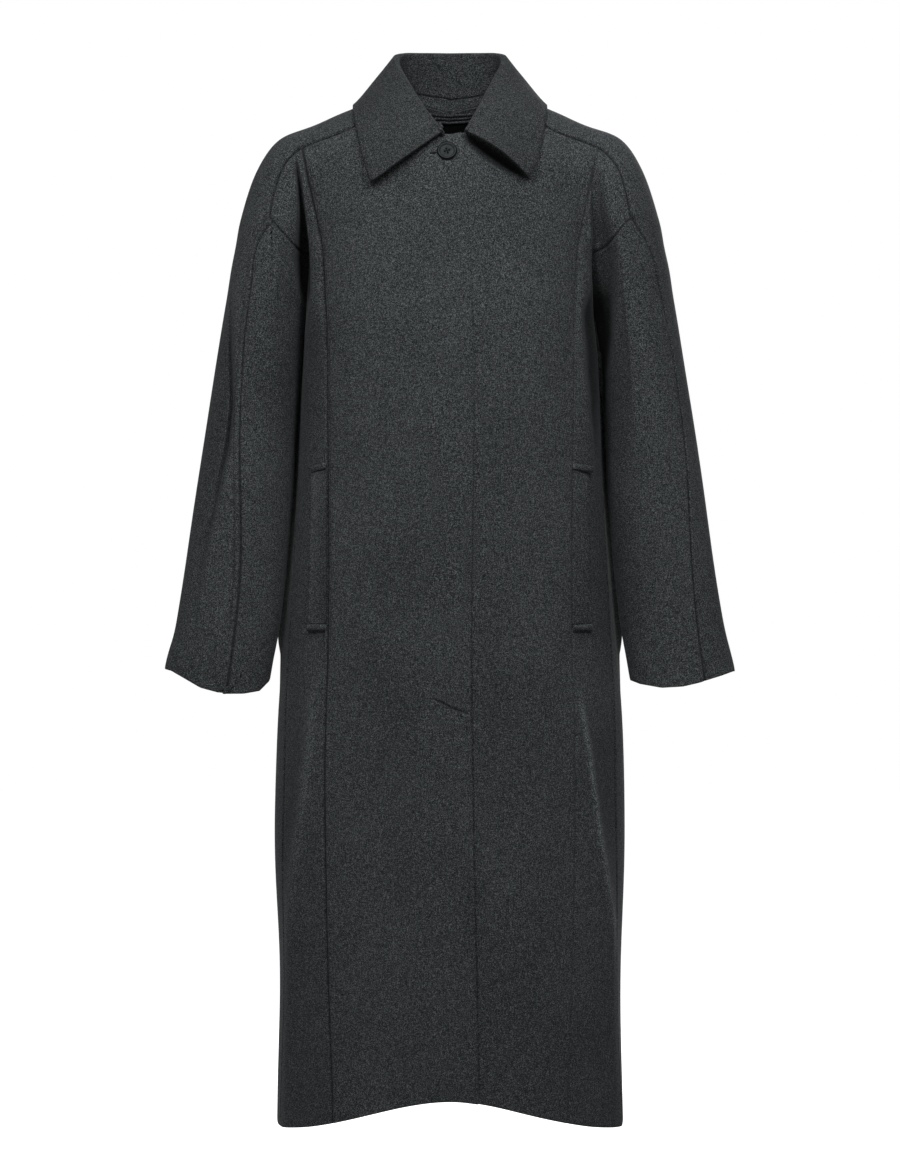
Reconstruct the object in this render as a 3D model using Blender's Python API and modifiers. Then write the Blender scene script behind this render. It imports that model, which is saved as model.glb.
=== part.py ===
import math

import bmesh
import bpy
import numpy as np
from mathutils import Matrix, Vector

# Driving sizes, metres. X is the wearer's left, -Y the front, Z up, zero at the neck points.
CLOTH = 0.0024
SEAM_GAP = 0.0003
FRONT_LAP_LIFT = 0.0033
LAP_RISE_START = 0.062
LAP_RISE_END = 0.032
UNDERLAP = 0.030

NECK_FRONT_Z = -0.030
NECK_SIDE_Z = 0.033
NECK_BACK_Z = 0.017
SADDLE_NECK_ANGLE = math.radians(65)
RAGLAN_NECK_ANGLE = math.radians(128)

YOKE_Z = -0.155
VALLEY_TOP_Z = -0.168
SLEEVE_APEX_Z = -0.020
REACH = 0.25
CREASE_SOFT = 0.030
CREASE_SOFT_Z = -0.045
CREASE_SHARP_Z = -0.260

HEM_Z = -1.200
HEM_FRONT_RISE = 0.043
POCKET_TOP_Z = -0.424
POCKET_BOTTOM_Z = -0.604
WELT_WIDTH = 0.025
WELT_CLOTH = 0.0020
TAB_HEIGHT = 0.0075

CUFF_Z = -0.6705
CUFF_OUTER_SLOPE = 0.168
CUFF_FRONT_SLOPE = 0.25

COLLAR_CLOTH = 0.0028
COLLAR_ROLL = 0.0052
COLLAR_SEAT = 0.0006
COLLAR_FRONT_SEAT = 0.0022
COLLAR_SEAM = 0.0005
COLLAR_BOW = 0.003
COLLAR_CLEAR = 0.0042
FACING_CLOTH = 0.0012

BUTTON_RADIUS = 0.0120
BUTTON_THICK = 0.0036
BUTTON_HOLE = 0.0011
BUTTON_HOLE_OFFSET = 0.0021
BUTTON_SEAT = 0.0004
BUTTON_X = -0.0035
BUTTON_Z = -0.050

# Numbers of cells along each stretch of seam
NECK_CELLS = 5
SADDLE_CELLS = 4
SHOULDER_CELLS = 4
ARMHOLE_CELLS = 5
VALLEY_CELLS = 3
ABOVE_POCKET_CELLS = 4
POCKET_CELLS = 4
SKIRT_CELLS = 12
BACK_CELLS = 14
SLEEVE_CELLS = 10
SLEEVE_AROUND_CELLS = 10
COLLAR_RISE_CELLS = 3
COLLAR_ROLL_CELLS = 4
COLLAR_LEAF_CELLS = 4
FACING_ROWS = 3
BUTTON_SIDES = 28
BUTTON_HOLE_SIDES = 8
PIECE_GAP_ROWS = 0.008

# Spacing of the rows, and how far the seams turn at the shoulder and underarm
SHOULDER_EASE = 1.6
VALLEY_EASE = 0.8
CROWN_EASE = 1.3
UNDERARM_DROOP = 0.35
OVERARM_DROP = 0.9
ROUND_ARM_START = 0.5
LEAF_REST_START = 0.5

# Half section of the button, in shares of its radius and thickness
BUTTON_PROFILE = [
    {"radius": 0.00, "height": 0.66},
    {"radius": 0.70, "height": 0.66},
    {"radius": 0.82, "height": 0.80},
    {"radius": 0.89, "height": 1.00},
    {"radius": 0.97, "height": 0.90},
    {"radius": 1.00, "height": 0.60},
    {"radius": 0.90, "height": 0.00},
    {"radius": 0.00, "height": 0.00},
]


class Profile:
    """Named columns over one key, each read on a smooth curve through the rows."""

    def __init__(self, names, rows):
        data = np.array(sorted(rows), dtype=float)
        self.key = data[:, 0]
        self.columns = {name: data[:, i + 1] for i, name in enumerate(names)}
        self.slopes = {name: np.gradient(values, self.key) for name, values in self.columns.items()}

    def at(self, name, key):
        i = int(np.clip(np.searchsorted(self.key, key) - 1, 0, len(self.key) - 2))
        step = self.key[i + 1] - self.key[i]
        t = min(max((key - self.key[i]) / step, 0.0), 1.0)
        values, slopes = self.columns[name], self.slopes[name]
        start = values[i] * (1 + 2 * t) * (1 - t) ** 2 + slopes[i] * step * t * (1 - t) ** 2
        end = values[i + 1] * t * t * (3 - 2 * t) + slopes[i + 1] * step * t * t * (t - 1)
        return float(start + end)


# Level sections of the body, without the sleeves
BODY = Profile(("half_width", "front", "back", "power"), [
    (0.048, 0.046, 0.022, 0.050, 2.0),
    (0.034, 0.070, 0.034, 0.060, 2.0),
    (0.012, 0.119, 0.053, 0.072, 2.0),
    (-0.017, 0.182, 0.073, 0.086, 2.0),
    (-0.040, 0.199, 0.086, 0.096, 2.1),
    (-0.088, 0.182, 0.104, 0.112, 2.3),
    (-0.138, 0.173, 0.119, 0.124, 2.5),
    (-0.210, 0.171, 0.131, 0.131, 2.6),
    (-0.310, 0.1765, 0.138, 0.131, 2.6),
    (-0.450, 0.1835, 0.139, 0.128, 2.5),
    (-0.600, 0.1960, 0.140, 0.130, 2.5),
    (-0.720, 0.2065, 0.143, 0.136, 2.45),
    (-0.850, 0.2095, 0.147, 0.143, 2.4),
    (-1.020, 0.2045, 0.153, 0.151, 2.4),
    (-1.230, 0.2080, 0.160, 0.160, 2.4),
])

# Level sections of a sleeve
SLEEVE = Profile(("x", "y", "half_width", "half_depth"), [
    (-0.020, 0.192, 0.006, 0.006, 0.020),
    (-0.031, 0.193, 0.006, 0.016, 0.042),
    (-0.046, 0.194, 0.005, 0.0286, 0.058),
    (-0.060, 0.1945, 0.005, 0.036, 0.067),
    (-0.096, 0.1985, 0.004, 0.0455, 0.078),
    (-0.140, 0.2050, 0.002, 0.050, 0.083),
    (-0.200, 0.2150, 0.000, 0.0505, 0.084),
    (-0.260, 0.2248, -0.003, 0.0502, 0.081),
    (-0.336, 0.2342, -0.008, 0.0525, 0.075),
    (-0.456, 0.2462, -0.020, 0.058, 0.066),
    (-0.576, 0.2602, -0.034, 0.0612, 0.056),
    (-0.700, 0.2790, -0.052, 0.0625, 0.048),
])

# Distance of the front seams from the centre
PRINCESS = Profile(("x",), [
    (-0.038, 0.1760),
    (-0.155, 0.1520),
    (-0.223, 0.1470),
    (-0.400, 0.1445),
    (-0.625, 0.1435),
    (-0.755, 0.1470),
    (-0.925, 0.1460),
    (-1.180, 0.1380),
])

# Right front edge beyond the centre
FRONT_EDGE = Profile(("x",), [
    (-0.030, 0.0140),
    (-0.170, 0.0235),
    (-0.700, 0.0245),
    (-0.900, 0.0275),
    (-1.160, 0.0330),
])

# Angle of the side seam round the body, from the front
SIDE_SEAM = Profile(("angle",), [
    (-0.255, 90.0),
    (-0.450, 80.0),
    (-0.600, 74.0),
    (-0.720, 72.0),
    (-1.200, 74.0),
])

# Saddle seam seen from the front, from beside the collar to the shoulder drop
SADDLE = Profile(("z",), [
    (0.1140, -0.0145),
    (0.1420, -0.0260),
    (0.1760, -0.0380),
    (0.1935, -0.0560),
    (0.2060, -0.0830),
    (0.2147, -0.1250),
])
# Middle of the shoulder under the saddle, and the way its crown faces at the neck and at the arm
SADDLE_CENTRE = (0.070, 0.010, -0.050)
SADDLE_CROWN = (0.30, 0.0, 1.0)
ARM_CROWN = (1.0, 0.0, 0.12)
PRINCESS_TOP_X = 0.1760
DROP_X, DROP_Z = 0.2147, -0.1250

# Angle of the overarm seam round each sleeve, from its outer side towards the front
OVERARM = Profile(("right", "left"), [
    (-0.125, 60.0, 60.0),
    (-0.240, 61.0, 47.0),
    (-0.384, 72.0, 46.0),
    (-0.530, 90.0, 58.0),
    (-0.690, 97.0, 67.0),
])

# Long soft folds of the skirt: angle at the top and at the hem, start height, depth and half angle
SKIRT_FOLDS = [
    {"side": "right", "top_angle": 63, "hem_angle": 68, "start_z": -0.62, "depth": 0.0050, "half_angle": 6},
    {"side": "left", "top_angle": 57, "hem_angle": 71, "start_z": -0.60, "depth": 0.0060, "half_angle": 6},
    {"side": "right", "top_angle": 112, "hem_angle": 108, "start_z": -0.50, "depth": 0.0070, "half_angle": 11},
    {"side": "left", "top_angle": 110, "hem_angle": 113, "start_z": -0.46, "depth": 0.0070, "half_angle": 12},
    {"side": "right", "top_angle": 150, "hem_angle": 147, "start_z": -0.55, "depth": 0.0080, "half_angle": 12},
    {"side": "left", "top_angle": 147, "hem_angle": 152, "start_z": -0.60, "depth": 0.0075, "half_angle": 11},
]

# Collar stations from the centre back to the front end: angle on the neckline, height of the stand,
# then the fold line and the free edge of the fall
COLLAR = Profile(("angle", "stand", "fold_x", "fold_y", "fold_z", "edge_x", "edge_y", "edge_z", "shift"), [
    (0, 180, 0.0160, 0.0000, 0.0720, 0.0905, 0.0000, 0.1140, 0.0080, 0.0),
    (1, 152, 0.0160, 0.0340, 0.0665, 0.0900, 0.0460, 0.1080, 0.0080, 0.0),
    (2, 128, 0.0155, 0.0580, 0.0460, 0.0865, 0.0880, 0.0820, 0.0100, 0.0),
    (3, 100, 0.0150, 0.0640, 0.0120, 0.0745, 0.1135, 0.0330, 0.0170, 0.0),
    (4, 66, 0.0120, 0.0510, -0.0270, 0.0460, 0.1160, -0.0160, 0.0150, 0.0),
    (5, 38, 0.0080, 0.0365, -0.0580, 0.0170, 0.1115, -0.0640, -0.0185, 0.001),
    (6, 20, 0.0045, 0.0225, -0.0800, -0.0080, 0.1035, -0.0870, -0.0530, 0.003),
    (7, 9, 0.0022, 0.0130, -0.0915, -0.0235, 0.0935, -0.1025, -0.0860, 0.005),
])
COLLAR_LAST = 7
COLLAR_STEP = 0.25
COLLAR_FRONT_START = 4
COLLAR_FRONT_FULL = 6


def lerp(a, b, t):
    return a + (b - a) * t


def unit(vector):
    return vector / np.linalg.norm(vector)


def turned(first, last, share):
    """Direction part of the way round from one unit vector to another."""
    angle = math.acos(min(max(float(first @ last), -1.0), 1.0))
    return unit(math.sin((1 - share) * angle) * first + math.sin(share * angle) * last)


def smoothstep(edge_low, edge_high, value):
    t = min(max((value - edge_low) / (edge_high - edge_low), 0.0), 1.0)
    return t * t * (3 - 2 * t)


# Form of the body and sleeves


def body_radius(angle, z):
    power = BODY.at("power", z)
    depth = BODY.at("front" if math.cos(angle) > 0 else "back", z)
    across = abs(math.sin(angle) / BODY.at("half_width", z)) ** power
    along = abs(math.cos(angle) / depth) ** power
    return (across + along) ** (-1 / power)


def body_angle(x, z):
    """Angle from the front of the body's point at x on its front side."""
    power = BODY.at("power", z)
    share = min(abs(x) / BODY.at("half_width", z), 1.0)
    depth = BODY.at("front", z) * (1 - share ** power) ** (1 / power)
    return math.copysign(math.atan2(abs(x), depth), x)


def fold_depth(angle, z, side):
    total = 0.0
    for fold in SKIRT_FOLDS:
        if fold["side"] != side:
            continue
        drop = (fold["start_z"] - z) / (fold["start_z"] - HEM_Z)
        if drop > 0:
            middle = lerp(fold["top_angle"], fold["hem_angle"], drop)
            away = (math.degrees(angle) - middle) / fold["half_angle"]
            total += fold["depth"] * smoothstep(0.0, 0.7, drop) * math.exp(-away * away)
    return total


def body_point(angle, z, side):
    radius = body_radius(angle, z) + fold_depth(angle, z, side)
    return np.array([radius * math.sin(angle), -radius * math.cos(angle), z])


def body_normal(angle, z, side):
    step = 1e-3
    around = body_point(angle + step, z, side) - body_point(angle - step, z, side)
    upward = body_point(angle, z + step, side) - body_point(angle, z - step, side)
    return unit(np.cross(around, upward))


def sleeve_point(angle, z):
    x = SLEEVE.at("x", z) + SLEEVE.at("half_width", z) * math.cos(angle)
    y = SLEEVE.at("y", z) - SLEEVE.at("half_depth", z) * math.sin(angle)
    return np.array([x, y, z])


def sleeve_normal(angle, z):
    step = 1e-3
    around = sleeve_point(angle + step, z) - sleeve_point(angle - step, z)
    upward = sleeve_point(angle, z + step) - sleeve_point(angle, z - step)
    return unit(np.cross(upward, around))


def sleeve_angle(point):
    across = (point[0] - SLEEVE.at("x", point[2])) / SLEEVE.at("half_width", point[2])
    forward = (SLEEVE.at("y", point[2]) - point[1]) / SLEEVE.at("half_depth", point[2])
    return math.atan2(forward, across)


def form(point):
    """Below zero inside the joined body and sleeve, with a soft crease where they meet."""
    x, y, z = abs(point[0]), point[1], point[2]
    body = math.hypot(x, y) - body_radius(math.atan2(x, -y), z)
    width = SLEEVE.at("half_width", z)
    across = (x - SLEEVE.at("x", z)) / width
    forward = (y - SLEEVE.at("y", z)) / SLEEVE.at("half_depth", z)
    sleeve = (math.hypot(across, forward) - 1) * width + 4 * max(0.0, z - SLEEVE_APEX_Z)
    soft = CREASE_SOFT * smoothstep(CREASE_SHARP_Z, CREASE_SOFT_Z, z) + 1e-5
    blend = max(soft - abs(body - sleeve), 0.0) / soft
    return min(body, sleeve) - blend * blend * soft / 4


def form_slope(point):
    step = 5e-4
    rise = [form(point + step * axis) - form(point - step * axis) for axis in np.eye(3)]
    return np.array(rise) / (2 * step)


def form_normal(point):
    return unit(form_slope(point))


def first_crossing(start, direction, reach, entering):
    """First point along a ray where it enters, or leaves, the form."""
    step = 0.002
    low = 0.0
    while low < reach and (form(start + (low + step) * direction) < 0) != entering:
        low += step
    high = low + step
    for _ in range(30):
        middle = (low + high) / 2
        if (form(start + middle * direction) < 0) == entering:
            high = middle
        else:
            low = middle
    return start + high * direction


def seen_from(facing, x, z):
    """Surface point met by a level ray from the front (-1) or the back (1)."""
    return first_crossing(np.array([x, REACH * facing, z]), np.array([0.0, -facing, 0.0]), REACH, True)


# Seams, each a list of (point, normal) pairs on the wearer's left side


def on_form(points):
    return [(point, form_normal(point)) for point in points]


def neckline(angle):
    turn = abs(math.sin(angle))
    if abs(angle) <= math.pi / 2:
        z = lerp(NECK_FRONT_Z, NECK_SIDE_Z, turn ** 1.5)
    else:
        z = lerp(NECK_BACK_Z, NECK_SIDE_Z, turn)
    return body_point(angle, z, "neck")


def saddle_seam():
    """From the neckline over the shoulder to the drop, where the front sleeve begins."""
    neck = neckline(SADDLE_NECK_ANGLE)
    first_x, first_z = SADDLE.key[0], SADDLE.columns["z"][0]
    places = []
    for i in range(1, SADDLE_CELLS + SHOULDER_CELLS + 1):
        if i <= SADDLE_CELLS:
            x = lerp(neck[0], PRINCESS_TOP_X, i / SADDLE_CELLS)
        else:
            x = lerp(PRINCESS_TOP_X, DROP_X, 1 - (1 - (i - SADDLE_CELLS) / SHOULDER_CELLS) ** SHOULDER_EASE)
        z = SADDLE.at("z", x) if x > first_x else lerp(neck[2], first_z, (x - neck[0]) / (first_x - neck[0]))
        places.append(seen_from(-1, x, z))
    return on_form([neck] + places)


def valley(facing, z):
    """Bottom of the crease between body and sleeve, on the front (-1) or the back (1)."""
    depth = BODY.at("front" if facing < 0 else "back", z)
    power, half_width = BODY.at("power", z), BODY.at("half_width", z)
    middle, width = SLEEVE.at("x", z), SLEEVE.at("half_width", z)
    low, high = middle - width, half_width
    for _ in range(40):
        x = (low + high) / 2
        body = depth * max(1 - (x / half_width) ** power, 0.0) ** (1 / power)
        sleeve = SLEEVE.at("half_depth", z) * max(1 - ((x - middle) / width) ** 2, 0.0) ** 0.5
        if body > sleeve + facing * SLEEVE.at("y", z):
            low = x
        else:
            high = x
    return np.array([x, facing * body, z])


def underarm_point():
    low, high = -0.30, -0.20
    for _ in range(40):
        z = (low + high) / 2
        if SLEEVE.at("x", z) - SLEEVE.at("half_width", z) > BODY.at("half_width", z):
            low = z
        else:
            high = z
    return np.array([BODY.at("half_width", z), SLEEVE.at("y", z) / 2, z])


def valley_seam(facing):
    """From the top of the crease down to the underarm."""
    underarm = underarm_point()
    seam = []
    for i in range(VALLEY_CELLS + 1):
        z = lerp(VALLEY_TOP_Z, underarm[2], (i / VALLEY_CELLS) ** VALLEY_EASE)
        point = seen_from(facing, valley(facing, z)[0], z) if i < VALLEY_CELLS else underarm
        across = body_normal(math.atan2(point[0], -point[1]), z, "valley")
        across = across + sleeve_normal(sleeve_angle(point), z)
        seam.append((point, unit(across - np.array([0.0, 0.0, UNDERARM_DROOP]))))
    return seam


def straight_seam(facing, start, end, cells):
    """Along a line that is straight from the front or back, between two seam ends."""
    places = [lerp(start[0], end[0], i / cells) for i in range(1, cells)]
    middle = on_form([seen_from(facing, place[0], place[2]) for place in places])
    return [start] + middle + [end]


def skirt_levels(top):
    above = np.linspace(top, POCKET_TOP_Z, ABOVE_POCKET_CELLS + 1)[1:]
    pocket = np.linspace(POCKET_TOP_Z, POCKET_BOTTOM_Z, POCKET_CELLS + 1)[1:]
    below = np.linspace(POCKET_BOTTOM_Z, HEM_Z, SKIRT_CELLS + 1)[1:]
    return [float(z) for z in (*above, *pocket, *below)]


def hem_shaped(angle, level):
    share = max(POCKET_BOTTOM_Z - level, 0.0) / (POCKET_BOTTOM_Z - HEM_Z)
    return level + HEM_FRONT_RISE * max(math.cos(angle), 0.0) ** 3 * share


def cuff_height(angle, share, top):
    z = lerp(top, CUFF_Z, share)
    tilt = CUFF_OUTER_SLOPE * SLEEVE.at("half_width", z) * math.cos(angle)
    tilt -= CUFF_FRONT_SLOPE * SLEEVE.at("half_depth", z) * math.sin(angle)
    return z + tilt * share


# Panels, each a grid of (point, normal) rows


def top_block(facing, top, side_seam, bottom):
    """Rows between a curved top and a level bottom, all met from the front or the back."""
    rows = []
    cells = len(side_seam) - 1
    for i, side in enumerate(side_seam):
        if i == 0:
            rows.append(list(top))
        elif i == cells:
            rows.append(list(bottom))
        else:
            places = [lerp(a[0], b[0], i / cells) for a, b in zip(top[:-1], bottom[:-1])]
            rows.append(on_form([seen_from(facing, p[0], p[2]) for p in places]) + [side])
    return rows


def body_row(angles, heights, side):
    return [(body_point(a, z, side), body_normal(a, z, side)) for a, z in zip(angles, heights)]


def front_rows(side, edge_x, seams):
    """Centre front from its edge to the princess seam."""
    cells = NECK_CELLS + SADDLE_CELLS
    edge_angle = -body_angle(edge_x(NECK_FRONT_Z), NECK_FRONT_Z)
    neck_angles = np.linspace(edge_angle, SADDLE_NECK_ANGLE, NECK_CELLS + 1)[:-1]
    top = on_form([neckline(angle) for angle in neck_angles]) + seams["saddle"][:SADDLE_CELLS + 1]
    levels = [YOKE_Z + (seams["underarm_z"] - YOKE_Z) * i / VALLEY_CELLS for i in range(VALLEY_CELLS + 1)]
    levels += skirt_levels(seams["underarm_z"])
    lower = []
    for level in levels:
        start_angle = -body_angle(edge_x(level), level)
        angles = np.linspace(start_angle, body_angle(PRINCESS.at("x", level), level), cells + 1)
        lower.append(body_row(angles, [hem_shaped(a, level) for a in angles], side))
    return top_block(-1, top, seams["princess_top"], lower[0])[:-1] + lower


def side_front_rows(side, seams):
    """Side front from the princess seam to the shoulder, armhole and side seam."""
    cells = SHOULDER_CELLS
    yoke_angle = body_angle(PRINCESS.at("x", YOKE_Z), YOKE_Z)
    lower = []
    for i, end in enumerate(seams["front_valley"]):
        level = lerp(YOKE_Z, seams["underarm_z"], i / VALLEY_CELLS)
        start_angle = body_angle(PRINCESS.at("x", level), level)
        angles = np.linspace(start_angle, math.atan2(end[0][0], -end[0][1]), cells + 1)
        lower.append(body_row(angles, np.linspace(level, end[0][2], cells + 1), side)[:-1] + [end])
    for level in skirt_levels(seams["underarm_z"]):
        start_angle = body_angle(PRINCESS.at("x", level), level)
        end_angle = math.radians(SIDE_SEAM.at("angle", level))
        welt_angle = start_angle + WELT_WIDTH / body_radius(start_angle, level)
        angles = [start_angle, *np.linspace(welt_angle, end_angle, cells)]
        lower.append(body_row(angles, [hem_shaped(a, level) for a in angles], side))
    top = seams["saddle"][SADDLE_CELLS:]
    upper = top_block(-1, top, seams["front_armhole"], lower[0])[:-1]
    for row, start in zip(upper, seams["princess_top"]):
        row[0] = start
    lower[0][0] = (body_point(yoke_angle, YOKE_Z, side), body_normal(yoke_angle, YOKE_Z, side))
    return upper + lower


def back_rows(side, seams):
    """Half of the back, from the raglan and side seams to the centre back."""
    cells = BACK_CELLS
    lower = []
    for i, start in enumerate(seams["back_valley"]):
        angles = np.linspace(math.atan2(start[0][0], -start[0][1]), math.pi, cells + 1)
        heights = [start[0][2]] * (cells + 1)
        lower.append([start] + body_row(angles, heights, side)[1:])
    for level in skirt_levels(seams["underarm_z"]):
        angles = np.linspace(math.radians(SIDE_SEAM.at("angle", level)), math.pi, cells + 1)
        lower.append(body_row(angles, [hem_shaped(a, level) for a in angles], side))
    neck_angles = np.linspace(RAGLAN_NECK_ANGLE, math.pi, cells + 1)
    top = on_form([neckline(angle) for angle in neck_angles])
    upper = top_block(1, top[::-1], seams["raglan"], lower[0][::-1])[:-1]
    return [row[::-1] for row in upper] + lower


def overarm(side, share, top):
    z = top
    for _ in range(4):
        angle = math.radians(OVERARM.at(side, z))
        z = cuff_height(angle, share, top)
    return angle, z


def sleeve_row(starts, ends, cells):
    angles = np.linspace(starts[0], ends[0], cells + 1)
    heights = np.linspace(starts[1], ends[1], cells + 1)
    return [(sleeve_point(angle, z), sleeve_normal(angle, z)) for angle, z in zip(angles, heights)]


def sleeve_levels(side, seams):
    """Angle and height of the overarm seam and of the underarm seam, row by row below the drop."""
    under_z = seams["underarm_z"]
    over_z = lerp(DROP_Z, under_z, OVERARM_DROP)
    rows = []
    for i in range(1, VALLEY_CELLS + 1):
        z = lerp(DROP_Z, over_z, i / VALLEY_CELLS)
        rows.append((math.radians(OVERARM.at(side, z)), z, None))
    for i in range(1, SLEEVE_CELLS + 1):
        share = i / SLEEVE_CELLS
        angle, z = overarm(side, share, over_z)
        rows.append((angle, z, cuff_height(math.pi, share, under_z)))
    return rows


def sleeve_front_rows(side, seams):
    """From the overarm seam forwards to the armhole and the underarm seam."""
    rows = [list(seams["front_armhole"])]
    for i, (angle, z, under_z) in enumerate(sleeve_levels(side, seams)):
        if under_z is None:
            end = seams["front_valley"][i + 1]
            row = sleeve_row((angle, z), (sleeve_angle(end[0]) % (2 * math.pi), end[0][2]), ARMHOLE_CELLS)
            row[-1] = end
        else:
            row = sleeve_row((angle, z), (math.pi, under_z), ARMHOLE_CELLS)
        rows.append(row)
    return rows


def spine_row(start, end, centre, crown, round_arm, cells):
    """Over the shoulder from the saddle seam to the raglan seam, met by rays from a centre."""
    first, last = unit(start[0] - centre), unit(end[0] - centre)
    to_crown, to_end = math.acos(first @ crown), math.acos(crown @ last)
    start_angle, end_angle = sleeve_angle(start[0]), -(-sleeve_angle(end[0]) % (2 * math.pi))
    points = []
    for i in range(1, cells):
        turn = (to_crown + to_end) * i / cells
        if turn < to_crown:
            aim = turned(first, crown, turn / to_crown)
        else:
            aim = turned(crown, last, (turn - to_crown) / to_end)
        spot = sleeve_point(lerp(start_angle, end_angle, i / cells), lerp(start[0][2], end[0][2], i / cells))
        aim = unit(lerp(aim, unit(spot - centre), round_arm))
        points.append(first_crossing(centre, aim, REACH, False))
    return [start] + on_form(points) + [end]


def sleeve_back_rows(side, seams):
    """Back sleeve and saddle, from the overarm seam round the outside to the raglan and underarm seams."""
    cells = SLEEVE_AROUND_CELLS
    steps = SADDLE_CELLS + SHOULDER_CELLS
    neck_centre = np.array(SADDLE_CENTRE)
    arm_centre = np.array([SLEEVE.at("x", DROP_Z), SLEEVE.at("y", DROP_Z), (DROP_Z + VALLEY_TOP_Z) / 2])
    rows = []
    for i, (start, end) in enumerate(zip(seams["saddle"], seams["raglan"])):
        share = i / steps
        crown = unit(lerp(np.array(SADDLE_CROWN), np.array(ARM_CROWN), share ** CROWN_EASE))
        if i == 0:
            angles = np.linspace(SADDLE_NECK_ANGLE, RAGLAN_NECK_ANGLE, cells + 1)[1:-1]
            rows.append([start] + on_form([neckline(angle) for angle in angles]) + [end])
        else:
            centre = lerp(neck_centre, arm_centre, share)
            rows.append(spine_row(start, end, centre, crown, smoothstep(ROUND_ARM_START, 1.0, share), cells))
    for i, (angle, z, under_z) in enumerate(sleeve_levels(side, seams)):
        if under_z is None:
            end = seams["back_valley"][i + 1]
            end_angle = sleeve_angle(end[0])
            end_angle = end_angle - 2 * math.pi if end_angle > 0 else end_angle
            row = sleeve_row((angle, z), (end_angle, end[0][2]), cells)
            row[-1] = end
        else:
            row = sleeve_row((angle, z), (-math.pi, under_z), cells)
        rows.append(row)
    return rows


def side_seams():
    """Seams that two panels share, for one side of the coat."""
    saddle = saddle_seam()
    front_valley, back_valley = valley_seam(-1), valley_seam(1)
    yoke_angle = body_angle(PRINCESS.at("x", YOKE_Z), YOKE_Z)
    yoke_end = (body_point(yoke_angle, YOKE_Z, "yoke"), body_normal(yoke_angle, YOKE_Z, "yoke"))
    raglan_start = on_form([neckline(RAGLAN_NECK_ANGLE)])[0]
    return {
        "saddle": saddle,
        "princess_top": straight_seam(-1, saddle[SADDLE_CELLS], yoke_end, ARMHOLE_CELLS),
        "front_armhole": straight_seam(-1, saddle[-1], front_valley[0], ARMHOLE_CELLS),
        "front_valley": front_valley,
        "raglan": straight_seam(1, raglan_start, back_valley[0], SADDLE_CELLS + SHOULDER_CELLS),
        "back_valley": back_valley,
        "underarm_z": float(front_valley[-1][0][2]),
    }


# Solids


def panel_arrays(rows, mirror):
    points = np.array([[cell[0] for cell in row] for row in rows])
    normals = np.array([[cell[1] for cell in row] for row in rows])
    sign = np.array([mirror, 1.0, 1.0])
    return points * sign, normals * sign


def pull_in(points, normals, gap, underarm=None):
    """Draw the four edges of a panel back from its seams, within the cloth's own plane."""
    moved = points.copy()
    for axis in (0, 1):
        for end, inner in ((0, 1), (-1, -2)):
            edge = np.take(points, end, axis=axis)
            inward = np.take(points, inner, axis=axis) - edge
            along = np.gradient(edge, axis=0)
            across = np.cross(np.take(normals, end, axis=axis), along)
            across /= np.linalg.norm(across, axis=1)[:, None]
            across *= math.copysign(1.0, float((across * inward).sum()))
            if axis == 0:
                moved[end] += gap * across
            else:
                moved[:, end] += gap * across
    if underarm is not None:
        row, column, away = underarm
        moved[row, column] = points[row, column] + gap * np.array(away)
    return moved


def grid_faces(rows, columns, offset, turned):
    faces = []
    for r in range(rows - 1):
        for c in range(columns - 1):
            corner = offset + r * columns + c
            face = (corner, corner + columns, corner + columns + 1, corner + 1)
            faces.append(face[::-1] if turned else face)
    return faces


def shorter_split(points, quad):
    """Order a four-sided face so that it divides along its shorter diagonal."""
    a, b, c, d = (points[i] for i in quad)
    if np.linalg.norm(c - a) <= np.linalg.norm(d - b):
        return quad
    return quad[1:] + quad[:1]


def wall_mesh(name, outer, inner):
    """Closed wall between two grids of points."""
    rows, columns = outer.shape[:2]
    count = rows * columns
    rim = [(0, c) for c in range(columns)] + [(r, columns - 1) for r in range(1, rows)]
    rim += [(rows - 1, c) for c in range(columns - 2, -1, -1)] + [(r, 0) for r in range(rows - 2, 0, -1)]
    rim = [r * columns + c for r, c in rim]
    faces = grid_faces(rows, columns, 0, False) + grid_faces(rows, columns, count, True)
    for a, b in zip(rim, rim[1:] + rim[:1]):
        faces.append((a, b, b + count, a + count))
    points = np.concatenate([outer.reshape(-1, 3), inner.reshape(-1, 3)])
    mesh = bpy.data.meshes.new(name)
    mesh.from_pydata(points.tolist(), [], [shorter_split(points, face) for face in faces])
    shell = bmesh.new()
    shell.from_mesh(mesh)
    bmesh.ops.recalc_face_normals(shell, faces=shell.faces)
    shell.to_mesh(mesh)
    shell.free()
    mesh.shade_smooth()
    mesh.set_sharp_from_angle(angle=math.radians(50))
    return mesh


def plain_material(name, colour, roughness):
    material = bpy.data.materials.new(name)
    material.use_nodes = True
    shader = material.node_tree.nodes["Principled BSDF"]
    shader.inputs["Base Color"].default_value = (*colour, 1.0)
    shader.inputs["Roughness"].default_value = roughness
    shader.inputs["Metallic"].default_value = 0.0
    return material


def add_object(name, mesh, material, collection):
    mesh.materials.append(material)
    part = bpy.data.objects.new(name, mesh)
    collection.objects.link(part)
    return part


def cloth_panel(name, rows, mirror, material, collection, lift=None, underarm=None):
    points, normals = panel_arrays(rows, mirror)
    if lift is not None:
        points = points + normals * lift(points[:, :, 0])[:, :, None]
    outer = pull_in(points, normals, SEAM_GAP / 2, underarm)
    add_object(name, wall_mesh(name, outer, outer - CLOTH * normals), material, collection)
    return outer, normals


def rest_on_form(point, clearance):
    """Move a point out until it stands clear of the body."""
    for _ in range(8):
        slope = form_slope(point)
        short = clearance - form(point) / np.linalg.norm(slope)
        if short > 0:
            point = point + short * unit(slope)
    return point


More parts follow.
